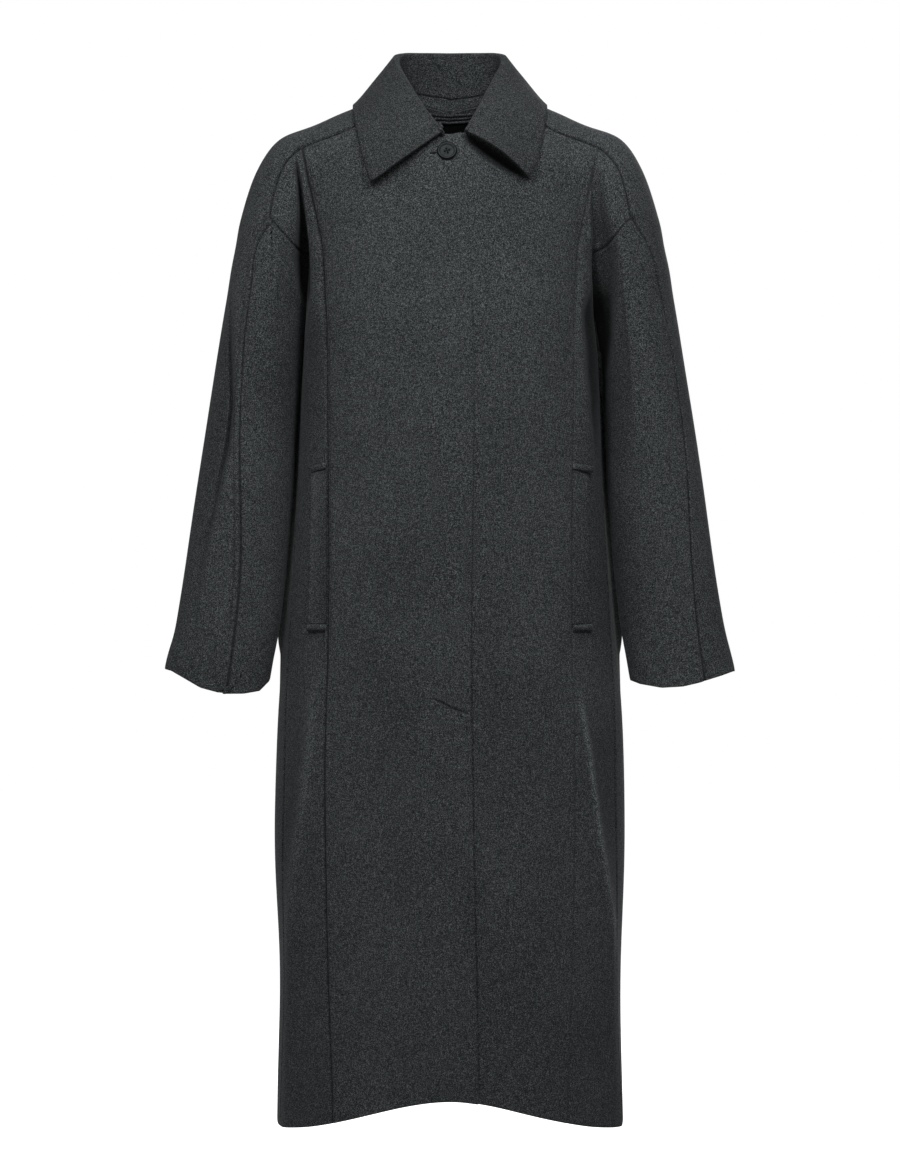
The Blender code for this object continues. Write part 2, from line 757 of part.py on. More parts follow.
def collar_section(station, side):
    """Visible and hidden points of the collar at one station, from the neckline to the free edge."""
    key = abs(station)
    mirror = np.array([side, 1.0, 1.0])
    shift = np.array([COLLAR.at("shift", key), 0.0, 0.0])
    neck = neckline(math.radians(COLLAR.at("angle", key)))
    seat = lerp(COLLAR_SEAT, COLLAR_FRONT_SEAT, smoothstep(COLLAR_FRONT_START, COLLAR_FRONT_FULL, key))
    neck = (neck + seat * form_normal(neck)) * mirror + shift
    if side < 0:
        neck = neck + lap_lift(neck[0]) * form_normal(neck)
    fold = np.array([COLLAR.at(f"fold_{axis}", key) for axis in "xyz"]) * mirror + shift
    edge = np.array([COLLAR.at(f"edge_{axis}", key) for axis in "xyz"]) * mirror
    rising, falling = unit(fold - neck), unit(edge - fold)
    radial = unit(np.array([neck[0], neck[1], 0.0]))
    outward = unit(radial - (radial @ rising) * rising)
    under = unit(-radial + (radial @ falling) * falling)
    crest = unit(rising - falling)
    centre = fold - COLLAR_ROLL * crest
    turn_in, turn_out = centre - COLLAR_ROLL * outward, centre - COLLAR_ROLL * under
    stand_share = COLLAR.at("stand", key) / np.linalg.norm(turn_in - neck)
    stand = [(neck, outward), (lerp(neck, turn_in, stand_share), outward)]
    gap_share = stand_share + COLLAR_SEAM / np.linalg.norm(turn_in - neck)
    fall = []
    for i in range(COLLAR_RISE_CELLS):
        fall.append((lerp(neck, turn_in, lerp(gap_share, 1.0, i / COLLAR_RISE_CELLS)), outward))
    for i in range(COLLAR_ROLL_CELLS + 1):
        t = 2 * i / COLLAR_ROLL_CELLS
        spoke = turned(-outward, crest, t) if t < 1 else turned(crest, -under, t - 1)
        fall.append((centre + COLLAR_ROLL * spoke, -spoke))
    for i in range(1, COLLAR_LEAF_CELLS + 1):
        share = i / COLLAR_LEAF_CELLS
        place = lerp(turn_out, edge, share) - COLLAR_BOW * math.sin(math.pi * share) * under
        if share > LEAF_REST_START:
            place = rest_on_form(place, COLLAR_CLEAR)
        fall.append((place, under))
    return stand, fall


def collar_walls(wool, coat):
    stations = np.arange(-COLLAR_LAST, COLLAR_LAST + COLLAR_STEP / 2, COLLAR_STEP)
    sections = [collar_section(station, -1.0 if station < 0 else 1.0) for station in stations]
    for name, part in (("collar_stand", 0), ("collar_fall", 1)):
        points, normals = panel_arrays([section[part] for section in sections], 1.0)
        add_object(name, wall_mesh(name, points, points + COLLAR_CLOTH * normals), wool, coat)


def patch(points, normals, row_places, column_places):
    """Part of a panel's grid, read between its own points."""
    def read(grid, row, column):
        r = min(int(row), grid.shape[0] - 2)
        c = min(int(column), grid.shape[1] - 2)
        near = lerp(grid[r, c], grid[r, c + 1], column - c)
        return lerp(near, lerp(grid[r + 1, c], grid[r + 1, c + 1], column - c), row - r)

    spots = np.array([[read(points, r, c) for c in column_places] for r in row_places])
    faces = np.array([[unit(read(normals, r, c)) for c in column_places] for r in row_places])
    return spots, faces


def pocket(side, points, normals, wool, coat):
    """Welt on the side front beside the princess seam, with a short tab at each end."""
    top = ARMHOLE_CELLS + VALLEY_CELLS + ABOVE_POCKET_CELLS
    bottom = top + POCKET_CELLS
    tab_above = TAB_HEIGHT / np.linalg.norm(points[top, 0] - points[top - 1, 0])
    tab_below = TAB_HEIGHT / np.linalg.norm(points[bottom + 1, 0] - points[bottom, 0])
    pieces = {
        "welt": [top, *range(top + 1, bottom), bottom],
        "tab_top": [top - tab_above, top - PIECE_GAP_ROWS],
        "tab_bottom": [bottom + PIECE_GAP_ROWS, bottom + tab_below],
    }
    for piece, places in pieces.items():
        spots, faces = patch(points, normals, places, [0.0, 1.0])
        inner = spots + SEAM_GAP * faces
        name = f"pocket_{piece}_{side}"
        add_object(name, wall_mesh(name, inner + WELT_CLOTH * faces, inner), wool, coat)


def neck_facing(back_left, lining, coat):
    """Facing inside the back neck, made from the back's own points moved in."""
    rows = back_left[:FACING_ROWS]
    left_points, left_normals = panel_arrays(rows, 1.0)
    right_points, right_normals = panel_arrays(rows, -1.0)
    points = np.concatenate([left_points, right_points[:, -2::-1]], axis=1)
    normals = np.concatenate([left_normals, right_normals[:, -2::-1]], axis=1)
    normals[:, BACK_CELLS, 0] = 0.0
    outer = pull_in(points - (CLOTH + SEAM_GAP) * normals, normals, SEAM_GAP)
    mesh = wall_mesh("back_neck_facing", outer, outer - FACING_CLOTH * normals)
    add_object("back_neck_facing", mesh, lining, coat)


def button(horn, coat, cutters):
    """Turned four-hole button on the lapped front, its back just clear of the cloth."""
    angle = body_angle(abs(BUTTON_X), BUTTON_Z)
    mirror = np.array([-1.0, 1.0, 1.0])
    facing = body_normal(angle, BUTTON_Z, "right") * mirror
    seat = body_point(angle, BUTTON_Z, "right") * mirror + (FRONT_LAP_LIFT + BUTTON_SEAT) * facing
    placed = Matrix.Translation(Vector(seat)) @ Vector(facing).to_track_quat("Z", "Y").to_matrix().to_4x4()
    profile = [(BUTTON_RADIUS * ring["radius"], BUTTON_THICK * ring["height"]) for ring in BUTTON_PROFILE]
    mesh = bpy.data.meshes.new("button")
    mesh.from_pydata([(r, 0.0, z) for r, z in profile], [(i, i + 1) for i in range(len(profile) - 1)], [])
    disc = add_object("button", mesh, horn, coat)
    disc.matrix_world = placed
    turn = disc.modifiers.new("turn", "SCREW")
    turn.steps = turn.render_steps = BUTTON_SIDES
    turn.use_merge_vertices = True
    turn.merge_threshold = 0.00001
    for i in range(4):
        around = math.pi / 4 + i * math.pi / 2
        across = Vector((math.cos(around), math.sin(around), 0.0))
        spot = BUTTON_HOLE_OFFSET * across + Vector((0.0, 0.0, BUTTON_THICK / 2))
        bore = bmesh.new()
        bmesh.ops.create_cone(bore, cap_ends=True, segments=BUTTON_HOLE_SIDES, radius1=BUTTON_HOLE,
                              radius2=BUTTON_HOLE, depth=BUTTON_THICK * 3)
        bore_mesh = bpy.data.meshes.new(f"button_bore_{i}")
        bore.to_mesh(bore_mesh)
        bore.free()
        drill = bpy.data.objects.new(f"button_bore_{i}", bore_mesh)
        cutters.objects.link(drill)
        drill.matrix_world = placed @ Matrix.Translation(spot)
        drill.hide_render = True
        drill.display_type = "WIRE"
        cut = disc.modifiers.new(f"hole_{i}", "BOOLEAN")
        cut.object = drill
        cut.operation = "DIFFERENCE"


def clear_scene():
    for item in list(bpy.data.objects):
        bpy.data.objects.remove(item)


def lap_lift(x):
    share = np.clip((LAP_RISE_START + x) / (LAP_RISE_START - LAP_RISE_END), 0.0, 1.0)
    return FRONT_LAP_LIFT * share * share * (3 - 2 * share)


def build_coat():
    clear_scene()
    coat = bpy.data.collections.new("long_coat")
    bpy.context.scene.collection.children.link(coat)
    cutters = bpy.data.collections.new("long_coat_cutters")
    bpy.context.scene.collection.children.link(cutters)
    wool = plain_material("wool", (0.040, 0.045, 0.047), 0.9)
    lining = plain_material("lining", (0.012, 0.014, 0.016), 0.6)
    horn = plain_material("button", (0.030, 0.034, 0.037), 0.45)
    seams = side_seams()
    for side, mirror in (("right", -1.0), ("left", 1.0)):
        edge = (lambda z: FRONT_EDGE.at("x", z)) if side == "right" else (lambda z: UNDERLAP)
        lift = lap_lift if side == "right" else None
        front_row = ARMHOLE_CELLS + VALLEY_CELLS
        back_row = SADDLE_CELLS + SHOULDER_CELLS + VALLEY_CELLS
        cloth_panel(f"front_{side}", front_rows(side, edge, seams), mirror, wool, coat, lift)
        points, normals = cloth_panel(f"side_front_{side}", side_front_rows(side, seams), mirror, wool, coat,
                                      underarm=(front_row, -1, (-mirror, -1, 0)))
        pocket(side, points, normals, wool, coat)
        back = back_rows(side, seams)
        cloth_panel(f"back_{side}", back, mirror, wool, coat, underarm=(back_row, 0, (-mirror, 1, 0)))
        cloth_panel(f"sleeve_front_{side}", sleeve_front_rows(side, seams), mirror, wool, coat,
                    underarm=(VALLEY_CELLS, -1, (mirror, -1, 0)))
        cloth_panel(f"sleeve_back_{side}", sleeve_back_rows(side, seams), mirror, wool, coat,
                    underarm=(back_row, -1, (mirror, 1, 0)))
    neck_facing(back, lining, coat)
    collar_walls(wool, coat)
    button(horn, coat, cutters)


build_coat()
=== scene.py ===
import math

import bmesh
import bpy
import numpy as np
from mathutils import Matrix, Vector
from mathutils.bvhtree import BVHTree
from mathutils.kdtree import KDTree


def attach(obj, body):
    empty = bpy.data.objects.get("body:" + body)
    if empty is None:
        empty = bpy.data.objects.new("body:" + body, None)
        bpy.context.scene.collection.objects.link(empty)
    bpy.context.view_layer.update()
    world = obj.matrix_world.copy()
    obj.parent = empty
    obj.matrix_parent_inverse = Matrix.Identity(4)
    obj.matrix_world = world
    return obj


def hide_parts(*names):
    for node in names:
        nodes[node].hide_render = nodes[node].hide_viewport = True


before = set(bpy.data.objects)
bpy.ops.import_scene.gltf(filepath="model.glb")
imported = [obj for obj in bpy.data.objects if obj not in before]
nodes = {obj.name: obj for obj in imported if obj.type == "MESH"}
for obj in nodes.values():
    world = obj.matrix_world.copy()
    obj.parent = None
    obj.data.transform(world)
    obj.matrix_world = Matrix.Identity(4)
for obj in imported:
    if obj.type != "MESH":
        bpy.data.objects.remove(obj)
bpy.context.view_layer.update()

mm = 0.001
scene = bpy.context.scene
scene.view_settings.view_transform = "Standard"


# camera at the front, level, far enough back that the coat is nearly flat on
cameraSet = {"away": 4.5, "height": -0.5616, "frameTall": 1.4112, "sensor": 24.0}


def placeCamera():
    data = bpy.data.cameras.new("frontCamera")
    data.sensor_fit = "VERTICAL"
    data.sensor_height = cameraSet["sensor"]
    data.lens = cameraSet["sensor"] * cameraSet["away"] / cameraSet["frameTall"]
    cam = bpy.data.objects.new("frontCamera", data)
    cam.location = (0.0, -cameraSet["away"], cameraSet["height"])
    cam.rotation_euler = (math.pi / 2, 0.0, 0.0)
    scene.collection.objects.link(cam)
    scene.camera = cam
    print("camera placed")


placeCamera()


# materials

def newMaterial(name):
    mat = bpy.data.materials.new(name)
    mat.use_nodes = True
    tree = mat.node_tree
    shader = tree.nodes["Principled BSDF"]
    return mat, tree, shader


def addNode(tree, kind, **values):
    node = tree.nodes.new(kind)
    for key, value in values.items():
        if key in node.inputs:
            node.inputs[key].default_value = value
        else:
            setattr(node, key, value)
    return node


def setInputs(node, values):
    for key, value in values.items():
        node.inputs[key].default_value = value


def noiseOn(tree, coords, scale, detail=2.0, rough=0.55, stretch=(1.0, 1.0, 1.0), shift=(0.0, 0.0, 0.0)):
    place = addNode(tree, "ShaderNodeMapping", Scale=stretch, Location=shift)
    tree.links.new(coords.outputs["Object"], place.inputs["Vector"])
    noise = addNode(tree, "ShaderNodeTexNoise", Scale=scale, Detail=detail, Roughness=rough)
    tree.links.new(place.outputs["Vector"], noise.inputs["Vector"])
    return noise.outputs["Fac"]


def rangeOf(tree, value, low, high, toLow, toHigh):
    node = addNode(tree, "ShaderNodeMapRange")
    setInputs(node, {"From Min": low, "From Max": high, "To Min": toLow, "To Max": toHigh})
    tree.links.new(value, node.inputs["Value"])
    return node.outputs["Result"]


def mathOf(tree, how, a, b):
    node = addNode(tree, "ShaderNodeMath", operation=how)
    for index, value in enumerate((a, b)):
        if isinstance(value, (int, float)):
            node.inputs[index].default_value = value
        else:
            tree.links.new(value, node.inputs[index])
    return node.outputs[0]


def rampOn(tree, value, *stops):
    # the first two stops are the ramp's own ends
    ramp = addNode(tree, "ShaderNodeValToRGB")
    elements = ramp.color_ramp.elements
    for index, (position, color) in enumerate(stops):
        stop = elements[index] if index < 2 else elements.new(position)
        stop.position = position
        stop.color = (*color, 1.0)
    tree.links.new(value, ramp.inputs["Fac"])
    return ramp.outputs["Color"]


def darkenBy(tree, color, attribute, shader):
    # the colour is darkened by painted shade kept on the mesh, or lightened where that value is negative, as a
    # painted highlight
    paintedLight = addNode(tree, "ShaderNodeAttribute", attribute_name=attribute)
    shaded = addNode(tree, "ShaderNodeVectorMath", operation="SCALE")
    tree.links.new(color, shaded.inputs[0])
    tree.links.new(mathOf(tree, "SUBTRACT", 1.0, paintedLight.outputs["Fac"]), shaded.inputs["Scale"])
    tree.links.new(shaded.outputs[0], shader.inputs["Base Color"])


def speckled(name, noise, stops, values, stretch=(1.0, 1.0, 1.0), attribute=None):
    # a noise between two colours, darkened by a value on the mesh where one is named
    mat, tree, shader = newMaterial(name)
    coords = addNode(tree, "ShaderNodeTexCoord")
    color = rampOn(tree, noiseOn(tree, coords, *noise, stretch=stretch), *stops)
    if attribute:
        darkenBy(tree, color, attribute, shader)
    else:
        tree.links.new(color, shader.inputs["Base Color"])
    setInputs(shader, values)
    return mat


woolSet = {
    # where each colour lies on the ramp, and the colour
    "dark": (0.40, (0.0052, 0.0067, 0.0074)),
    "pale": (0.615, (0.150, 0.161, 0.167)),
    "middle": (0.50, (0.0225, 0.0262, 0.0278)),
    # size of each noise, and its share of the melange
    "speck": (1050.0, 0.50),
    "fibre": (1700.0, 0.20),
    "slub": (600.0, 0.15),
    "cloud": (7.0, 0.011),
    "bump": {"Strength": 0.35, "Distance": 0.0006},
    "shader": {"Roughness": 0.95, "Specular IOR Level": 0.18, "Sheen Weight": 0.05, "Sheen Roughness": 0.55,
               "Sheen Tint": (0.62, 0.66, 0.70, 1.0)},
}


def makeWool(name="woolFlannel", tone=1.0):
    mat, tree, shader = newMaterial(name)
    coords = addNode(tree, "ShaderNodeTexCoord")
    (speckSize, speckShare), (fibreSize, fibreShare), (slubSize, slubShare), (cloudSize, cloudShare) = (
        woolSet[key] for key in ("speck", "fibre", "slub", "cloud"))
    speck = noiseOn(tree, coords, speckSize, 1.0, 0.5)
    fibre = noiseOn(tree, coords, fibreSize, 1.0, 0.5, shift=(0.31, 0.17, 0.05))
    upright = noiseOn(tree, coords, slubSize, 2.0, 0.6, stretch=(1.5, 1.5, 0.32))
    across = noiseOn(tree, coords, slubSize, 2.0, 0.6, stretch=(0.36, 0.36, 1.5), shift=(0.2, 0.4, 0.1))
    cloud = noiseOn(tree, coords, cloudSize, 3.0, 0.5)
    mix = mathOf(tree, "MULTIPLY", speck, speckShare)
    for part, share in ((fibre, fibreShare), (upright, slubShare), (across, slubShare)):
        mix = mathOf(tree, "ADD", mix, mathOf(tree, "MULTIPLY", part, share))
    mix = mathOf(tree, "ADD", mix, rangeOf(tree, cloud, 0.3, 0.7, -cloudShare, cloudShare))
    colors = (woolSet[key] for key in ("dark", "pale", "middle"))
    stops = [(place, [c * tone for c in color]) for place, color in colors]
    # painted shade darkens the wool in seams, sewn lines, creases and deep folds, and painted highlight lightens it
    # on crests
    darkenBy(tree, rampOn(tree, mix, *stops), "seamShade", shader)
    bump = addNode(tree, "ShaderNodeBump", **woolSet["bump"])
    tree.links.new(mix, bump.inputs["Height"])
    tree.links.new(bump.outputs["Normal"], shader.inputs["Normal"])
    setInputs(shader, woolSet["shader"])
    return mat


wool = makeWool()
print("wool ready")


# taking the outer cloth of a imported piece: rungs as long as the cloth is thick join its two sides

def openMesh(me):
    bm = bmesh.new()
    bm.from_mesh(me)
    return bm


def keepMesh(bm, me):
    bm.to_mesh(me)
    bm.free()
    return me


def linkMesh(bm, name):
    ob = bpy.data.objects.new(name, keepMesh(bm, bpy.data.meshes.new(name)))
    scene.collection.objects.link(ob)
    return ob


def setPoints(me, co):
    me.vertices.foreach_set("co", co.ravel())
    me.update()


def setShade(me, values, name="seamShade"):
    me.attributes.new(name, "FLOAT", "POINT").data.foreach_set("value", values)


def sideSheets(name, wall):
    bm = openMesh(nodes[name].data)
    bmesh.ops.remove_doubles(bm, verts=bm.verts, dist=1e-5)
    rungs = [e for e in bm.edges if abs(e.calc_length() - wall) < 4e-6]
    rim = {f for e in rungs for f in e.link_faces}
    bmesh.ops.delete(bm, geom=list(rim), context="FACES")
    left = set(bm.faces)
    sheets = []
    while left:
        stack = [left.pop()]
        sheet = list(stack)
        while stack:
            for e in stack.pop().edges:
                for f in e.link_faces:
                    if f in left:
                        left.remove(f)
                        sheet.append(f)
                        stack.append(f)
        sheets.append(sheet)
    return bm, sheets


def boundaryLoop(bm):
    start = next(v for v in bm.verts if v.is_boundary)
    loop = [start]
    last = None
    while True:
        here = loop[-1]
        ahead = [e.other_vert(here) for e in here.link_edges if e.is_boundary]
        ahead = [v for v in ahead if v is not last]
        last = here
        if ahead[0] is start and len(loop) > 2:
            return loop
        loop.append(ahead[0])


def gridWalk(bm, rows, cols, top, side):
    # goes down the sheet row by row, and returns its rows and the diagonals of its squares
    grid = [top]
    diagonals = []
    used = set()
    for i in range(rows):
        above = grid[-1]
        row = [side[i + 1]]
        for j in range(cols):
            a, b, c = above[j], above[j + 1], row[j]
            edge = bm.edges.get((a, b))
            free = [f for f in edge.link_faces if f not in used] if edge else []
            if len(free) != 1:
                return None
            first = free[0]
            far = next(v for v in first.verts if v not in (a, b))
            slant = bm.edges.get((b, c)) if far is c else bm.edges.get((a, far))
            other = [f for f in slant.link_faces if f is not first and f not in used] if slant else []
            if len(other) != 1:
                return None
            corner = next(v for v in other[0].verts if v not in slant.verts) if far is c else far
            if far is not c and c not in other[0].verts:
                return None
            used.update((first, other[0]))
            diagonals.append(slant)
            row.append(corner)
        grid.append(row)
    return (grid, diagonals) if len(used) == len(bm.faces) else None


def squareSheet(name, rows, cols, wall, inner=False):
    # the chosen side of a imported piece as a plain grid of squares
    bm, sheets = sideSheets(name, wall)
    sheets.sort(key=lambda s: sum(f.calc_area() for f in s), reverse=not inner)
    keep = set(sheets[0])
    bmesh.ops.delete(bm, geom=[f for f in bm.faces if f not in keep], context="FACES")
    loop = boundaryLoop(bm)
    count = len(loop)
    for turn in (1, -1):
        for start in range(count):
            top = [loop[(start + turn * j) % count] for j in range(cols + 1)]
            side = [loop[(start - turn * i) % count] for i in range(rows + 1)]
            found = gridWalk(bm, rows, cols, top, side)
            if found:
                bmesh.ops.dissolve_edges(bm, edges=found[1], use_verts=False)
                return bm
    raise RuntimeError("no grid in " + name)


def meshPoints(me):
    co = np.empty(len(me.vertices) * 3)
    me.vertices.foreach_get("co", co)
    return co.reshape(-1, 3)


def meshNormals(me):
    no = np.empty(len(me.vertices) * 3)
    me.vertex_normals.foreach_get("vector", no)
    return no.reshape(-1, 3)


def evaluatedMesh(ob):
    bpy.context.view_layer.update()
    seen = ob.evaluated_get(bpy.context.evaluated_depsgraph_get())
    return bpy.data.meshes.new_from_object(seen)


def applyModifiers(ob):
    plain = ob.data
    made = evaluatedMesh(ob)
    ob.modifiers.clear()
    ob.data = made
    bpy.data.meshes.remove(plain)


def roundedSheet(bm, name, levels):
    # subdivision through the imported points: the cage is pushed out until the smooth sheet passes through them
    ob = linkMesh(bm, name)
    sub = ob.modifiers.new("round", "SUBSURF")
    sub.boundary_smooth = "PRESERVE_CORNERS"
    sub.levels = sub.render_levels = 1
    target = meshPoints(ob.data)
    for step in range(4):
        trial = evaluatedMesh(ob)
        setPoints(ob.data, meshPoints(ob.data) + target - meshPoints(trial)[:len(target)])
        bpy.data.meshes.remove(trial)
    sub.levels = sub.render_levels = levels
    applyModifiers(ob)
    return ob


def refineEdge(ob, rings=2, cuts=2):
    # extra rings of faces beside the sheet's edges, for the seams
    bm = openMesh(ob.data)
    depth = {v: 0 for v in bm.verts if v.is_boundary}
    front = list(depth)
    for ring in range(rings):
        ahead = {e.other_vert(v) for v in front for e in v.link_edges} - set(depth)
        depth.update((v, ring + 1) for v in ahead)
        front = list(ahead)
    cross = []
    for e in bm.edges:
        a, b = (depth.get(v, rings + 1) for v in e.verts)
        if a != b and max(a, b) <= rings:
            cross.append(e)
    bmesh.ops.subdivide_edges(bm, edges=cross, cuts=cuts, use_grid_fill=True)
    keepMesh(bm, ob.data)


def refineBox(ob, left, right, low, high, cuts=1, across=True):
    # splits the squares sideways, or both ways, inside a box seen from the front
    bm = openMesh(ob.data)
    edges = []
    for e in bm.edges:
        middle = (e.verts[0].co + e.verts[1].co) / 2
        run = e.verts[1].co - e.verts[0].co
        level = abs(run.z) < 0.6 * run.length or not across
        if left < middle.x < right and low < middle.z < high and middle.y < 0.02 and level:
            edges.append(e)
    bmesh.ops.subdivide_edges(bm, edges=edges, cuts=cuts, use_grid_fill=True)
    keepMesh(bm, ob.data)


# the cut pieces of the coat: rows and columns of their packed grids, and their flat cuts
bodySet = {
    "wall": 0.0024,
    "levels": 3,
    "pieces": {
        "front_right": {"grid": (28, 9), "flat": (0.255, 1.215), "area": 0.213},
        "front_left": {"grid": (28, 9), "flat": (0.267, 1.215), "area": 0.216},
        "side_front_right": {"grid": (28, 4), "flat": (0.102, 1.157), "area": 0.096},
        "side_front_left": {"grid": (28, 4), "flat": (0.102, 1.157), "area": 0.096},
        "back_right": {"grid": (31, 14), "flat": (0.364, 1.303), "area": 0.362},
        "back_left": {"grid": (31, 14), "flat": (0.364, 1.303), "area": 0.362},
        "sleeve_front_right": {"grid": (13, 5), "flat": (0.132, 0.567), "area": 0.058},
        "sleeve_front_left": {"grid": (13, 5), "flat": (0.146, 0.566), "area": 0.073},
        "sleeve_back_right": {"grid": (21, 10), "flat": (0.286, 0.838), "area": 0.203},
        "sleeve_back_left": {"grid": (21, 10), "flat": (0.272, 0.837), "area": 0.187},
    },
    # boxes with finer squares for the sharper folds
    "finer": [
        ("sleeve_back_right", (-0.33, -0.24, -0.66, -0.15)),
        ("sleeve_back_right", (-0.31, -0.255, -0.60, -0.20)),
        ("sleeve_front_right", (-0.205, -0.165, -0.30, -0.13)),
        ("sleeve_front_left", (0.165, 0.205, -0.42, -0.13)),
        ("side_front_left", (0.148, 0.215, -1.07, -0.66)),
        ("front_right", (-0.036, 0.03, -0.735, -0.675, 4, False)),
        ("front_left", (0.012, 0.105, -0.09, -0.01, 2, False)),
    ],
}


def camelName(node):
    words = node.split("_")
    return words[0] + "".join(w.capitalize() for w in words[1:])


panels = {}
for node, cut in bodySet["pieces"].items():
    sheet = squareSheet(node, cut["grid"][0], cut["grid"][1], bodySet["wall"])
    panels[node] = roundedSheet(sheet, camelName(node), bodySet["levels"])
    refineEdge(panels[node])
for node, box in bodySet["finer"]:
    refineBox(panels[node], *box)
print("body and sleeve cloth taken from the packed pieces")


# sewing: where two edges meet the cloth dips into the seam, and a free edge rolls in a little
seamSet = {
    "near": 2.6 * mm, "deep": 3.6 * mm, "wide": 1.5 * mm, "puff": 0.35 * mm, "puffAt": 5.0 * mm, "roll": 0.4 * mm,
    "share": 16.0 * mm, "lap": 0.2 * mm, "meet": 4.0 * mm,
    # the centre back seam is flat behind the facing: half width, top of the dip and how soon it is full
    "flat": {"half": 0.02, "below": -0.05, "soft": 0.03},
    # how much painted shade darkens the wool in a seam, in a line sewn beside one, in a crease and in a deep fold
    "shade": {"seam": 0.72, "seamWide": 1.3 * mm, "line": 0.40, "lineWide": 0.9 * mm, "deep": 0.78,
              "deepAt": 20.0 * mm, "deepTurn": 1.6, "least": -1.4, "most": 0.9},
    # seams pressed flat, with their share of the depth
    "faint": [(("front_left", "side_front_left"), 0.32), (("side_front_right", "sleeve_front_right"), 0.6),
              (("side_front_left", "sleeve_front_left"), 0.5)],
    # lines sewn beside a seam: the piece, its neighbour, how far in, how deep, how wide, from and to this height
    "lines": [("sleeve_back_right", "sleeve_front_right", 6.5 * mm, 0.8 * mm, 1.1 * mm, -0.62, -0.11),
              ("side_front_right", "front_right", 5.5 * mm, 0.7 * mm, 1.1 * mm, -0.64, -0.40),
              ("front_right", "side_front_right", 4.5 * mm, 0.4 * mm, 1.0 * mm, -0.64, -0.06),
              ("front_right", None, 5.2 * mm, 0.6 * mm, 1.1 * mm, -0.93, -0.72)],
}


def softStep(t):
    t = np.clip(t, 0.0, 1.0)
    return t * t * (3 - 2 * t)


def fadeIn(value, start, over):
    return softStep((value - start) / over)


def bell(off, wide):
    return np.exp(-(off / wide) ** 2)


def edgeSamples(me, steps=6):
    bm = openMesh(me)
    points = []
    normals = []
    for e in bm.edges:
        if e.is_boundary:
            for k in range(steps):
                points.append(e.verts[0].co.lerp(e.verts[1].co, (k + 0.5) / steps))
                normals.append(e.verts[0].normal.lerp(e.verts[1].normal, (k + 0.5) / steps))
    bm.free()
    return np.array(points), np.array(normals)


def treeOf(points):
    tree = KDTree(len(points))
    for index, point in enumerate(points):
        tree.insert(point, index)
    tree.balance()
    return tree


def unit(vectors):
    return vectors / np.maximum(np.linalg.norm(vectors, axis=1), 1e-9)[:, None]


samples = {node: edgeSamples(ob.data) for node, ob in panels.items()}


def seamMap(node, co, no):
    # for each point: its distance from the edge, the piece sewn on there, and a normal shared with that piece
    points, normals = samples[node]
    names = [name for name in samples if name != node]
    otherPoints = np.concatenate([samples[name][0] for name in names])
    otherNormals = np.concatenate([samples[name][1] for name in names])
    owner = np.concatenate([np.full(len(samples[name][0]), k) for k, name in enumerate(names)])
    tree = treeOf(otherPoints)
    found = [tree.find(p) for p in points]
    index = np.array([f[1] for f in found])
    sewn = np.array([f[2] for f in found]) < seamSet["near"]
    shared = np.where(sewn[:, None], unit(normals + otherNormals[index]), normals)
    ownTree = treeOf(points)
    near = [ownTree.find(p) for p in co]
    which = np.array([n[1] for n in near])
    far = np.array([n[2] for n in near])
    blend = softStep(1.0 - far / seamSet["share"])[:, None]
    turned = unit(shared[which] * blend + no * (1 - blend))
    neighbour = np.where(sewn[which], owner[index[which]], -1)
    # both edges of a seam come to the line midway between them
    gap = np.where(sewn[:, None], (otherPoints[index] - points) / 2, 0.0)
    meet = gap[which] * bell(far, seamSet["meet"])[:, None]
    return far, neighbour, names, turned, meet


def edgeLap(ob, neighbour):
    # sewn edges pass each other by a hair, so no light comes through
    bm = openMesh(ob.data)
    lap = np.zeros((len(bm.verts), 3))
    for v in bm.verts:
        inner = [e.other_vert(v) for e in v.link_edges if not e.is_boundary]
        if v.is_boundary and inner and neighbour[v.index] >= 0:
            lap[v.index] = (v.co - inner[0].co).normalized() * seamSet["lap"]
    bm.free()
    return lap


def mateOf(pair, node):
    return next(name for name in pair if name != node)


def seamShare(node, neighbour, names):
    # 1 beside a seam, less where it is pressed flat, 0 beside a free edge
    share = np.where(neighbour >= 0, 1.0, 0.0)
    for pair, part in seamSet["faint"]:
        if node in pair:
            share[neighbour == names.index(mateOf(pair, node))] = part
    return share


def sewnLines(node, co, far, neighbour, names):
    # each line sewn on this piece: where it runs, the distance from it, its depth and width
    for piece, beside, at, deep, wide, low, high in seamSet["lines"]:
        if piece == node:
            edge = neighbour == names.index(beside) if beside else (neighbour < 0) & (co[:, 0] > 0)
            yield edge & (co[:, 2] > low) & (co[:, 2] < high), far - at, deep, wide


def seamDip(node, co, far, neighbour, names):
    share = seamShare(node, neighbour, names)
    if node.startswith("back"):
        flat = seamSet["flat"]
        dipped = fadeIn(-co[:, 2], -flat["below"], flat["soft"])
        share = share * np.where(np.abs(co[:, 0]) < flat["half"], dipped, 1.0)
    dip = np.where(neighbour >= 0, -seamSet["deep"] * share, -seamSet["roll"]) * bell(far, seamSet["wide"])
    dip += seamSet["puff"] * share * bell(far - seamSet["puffAt"], seamSet["puffAt"])
    for here, off, deep, wide in sewnLines(node, co, far, neighbour, names):
        dip -= np.where(here, deep, 0.0) * bell(off, wide)
    return dip
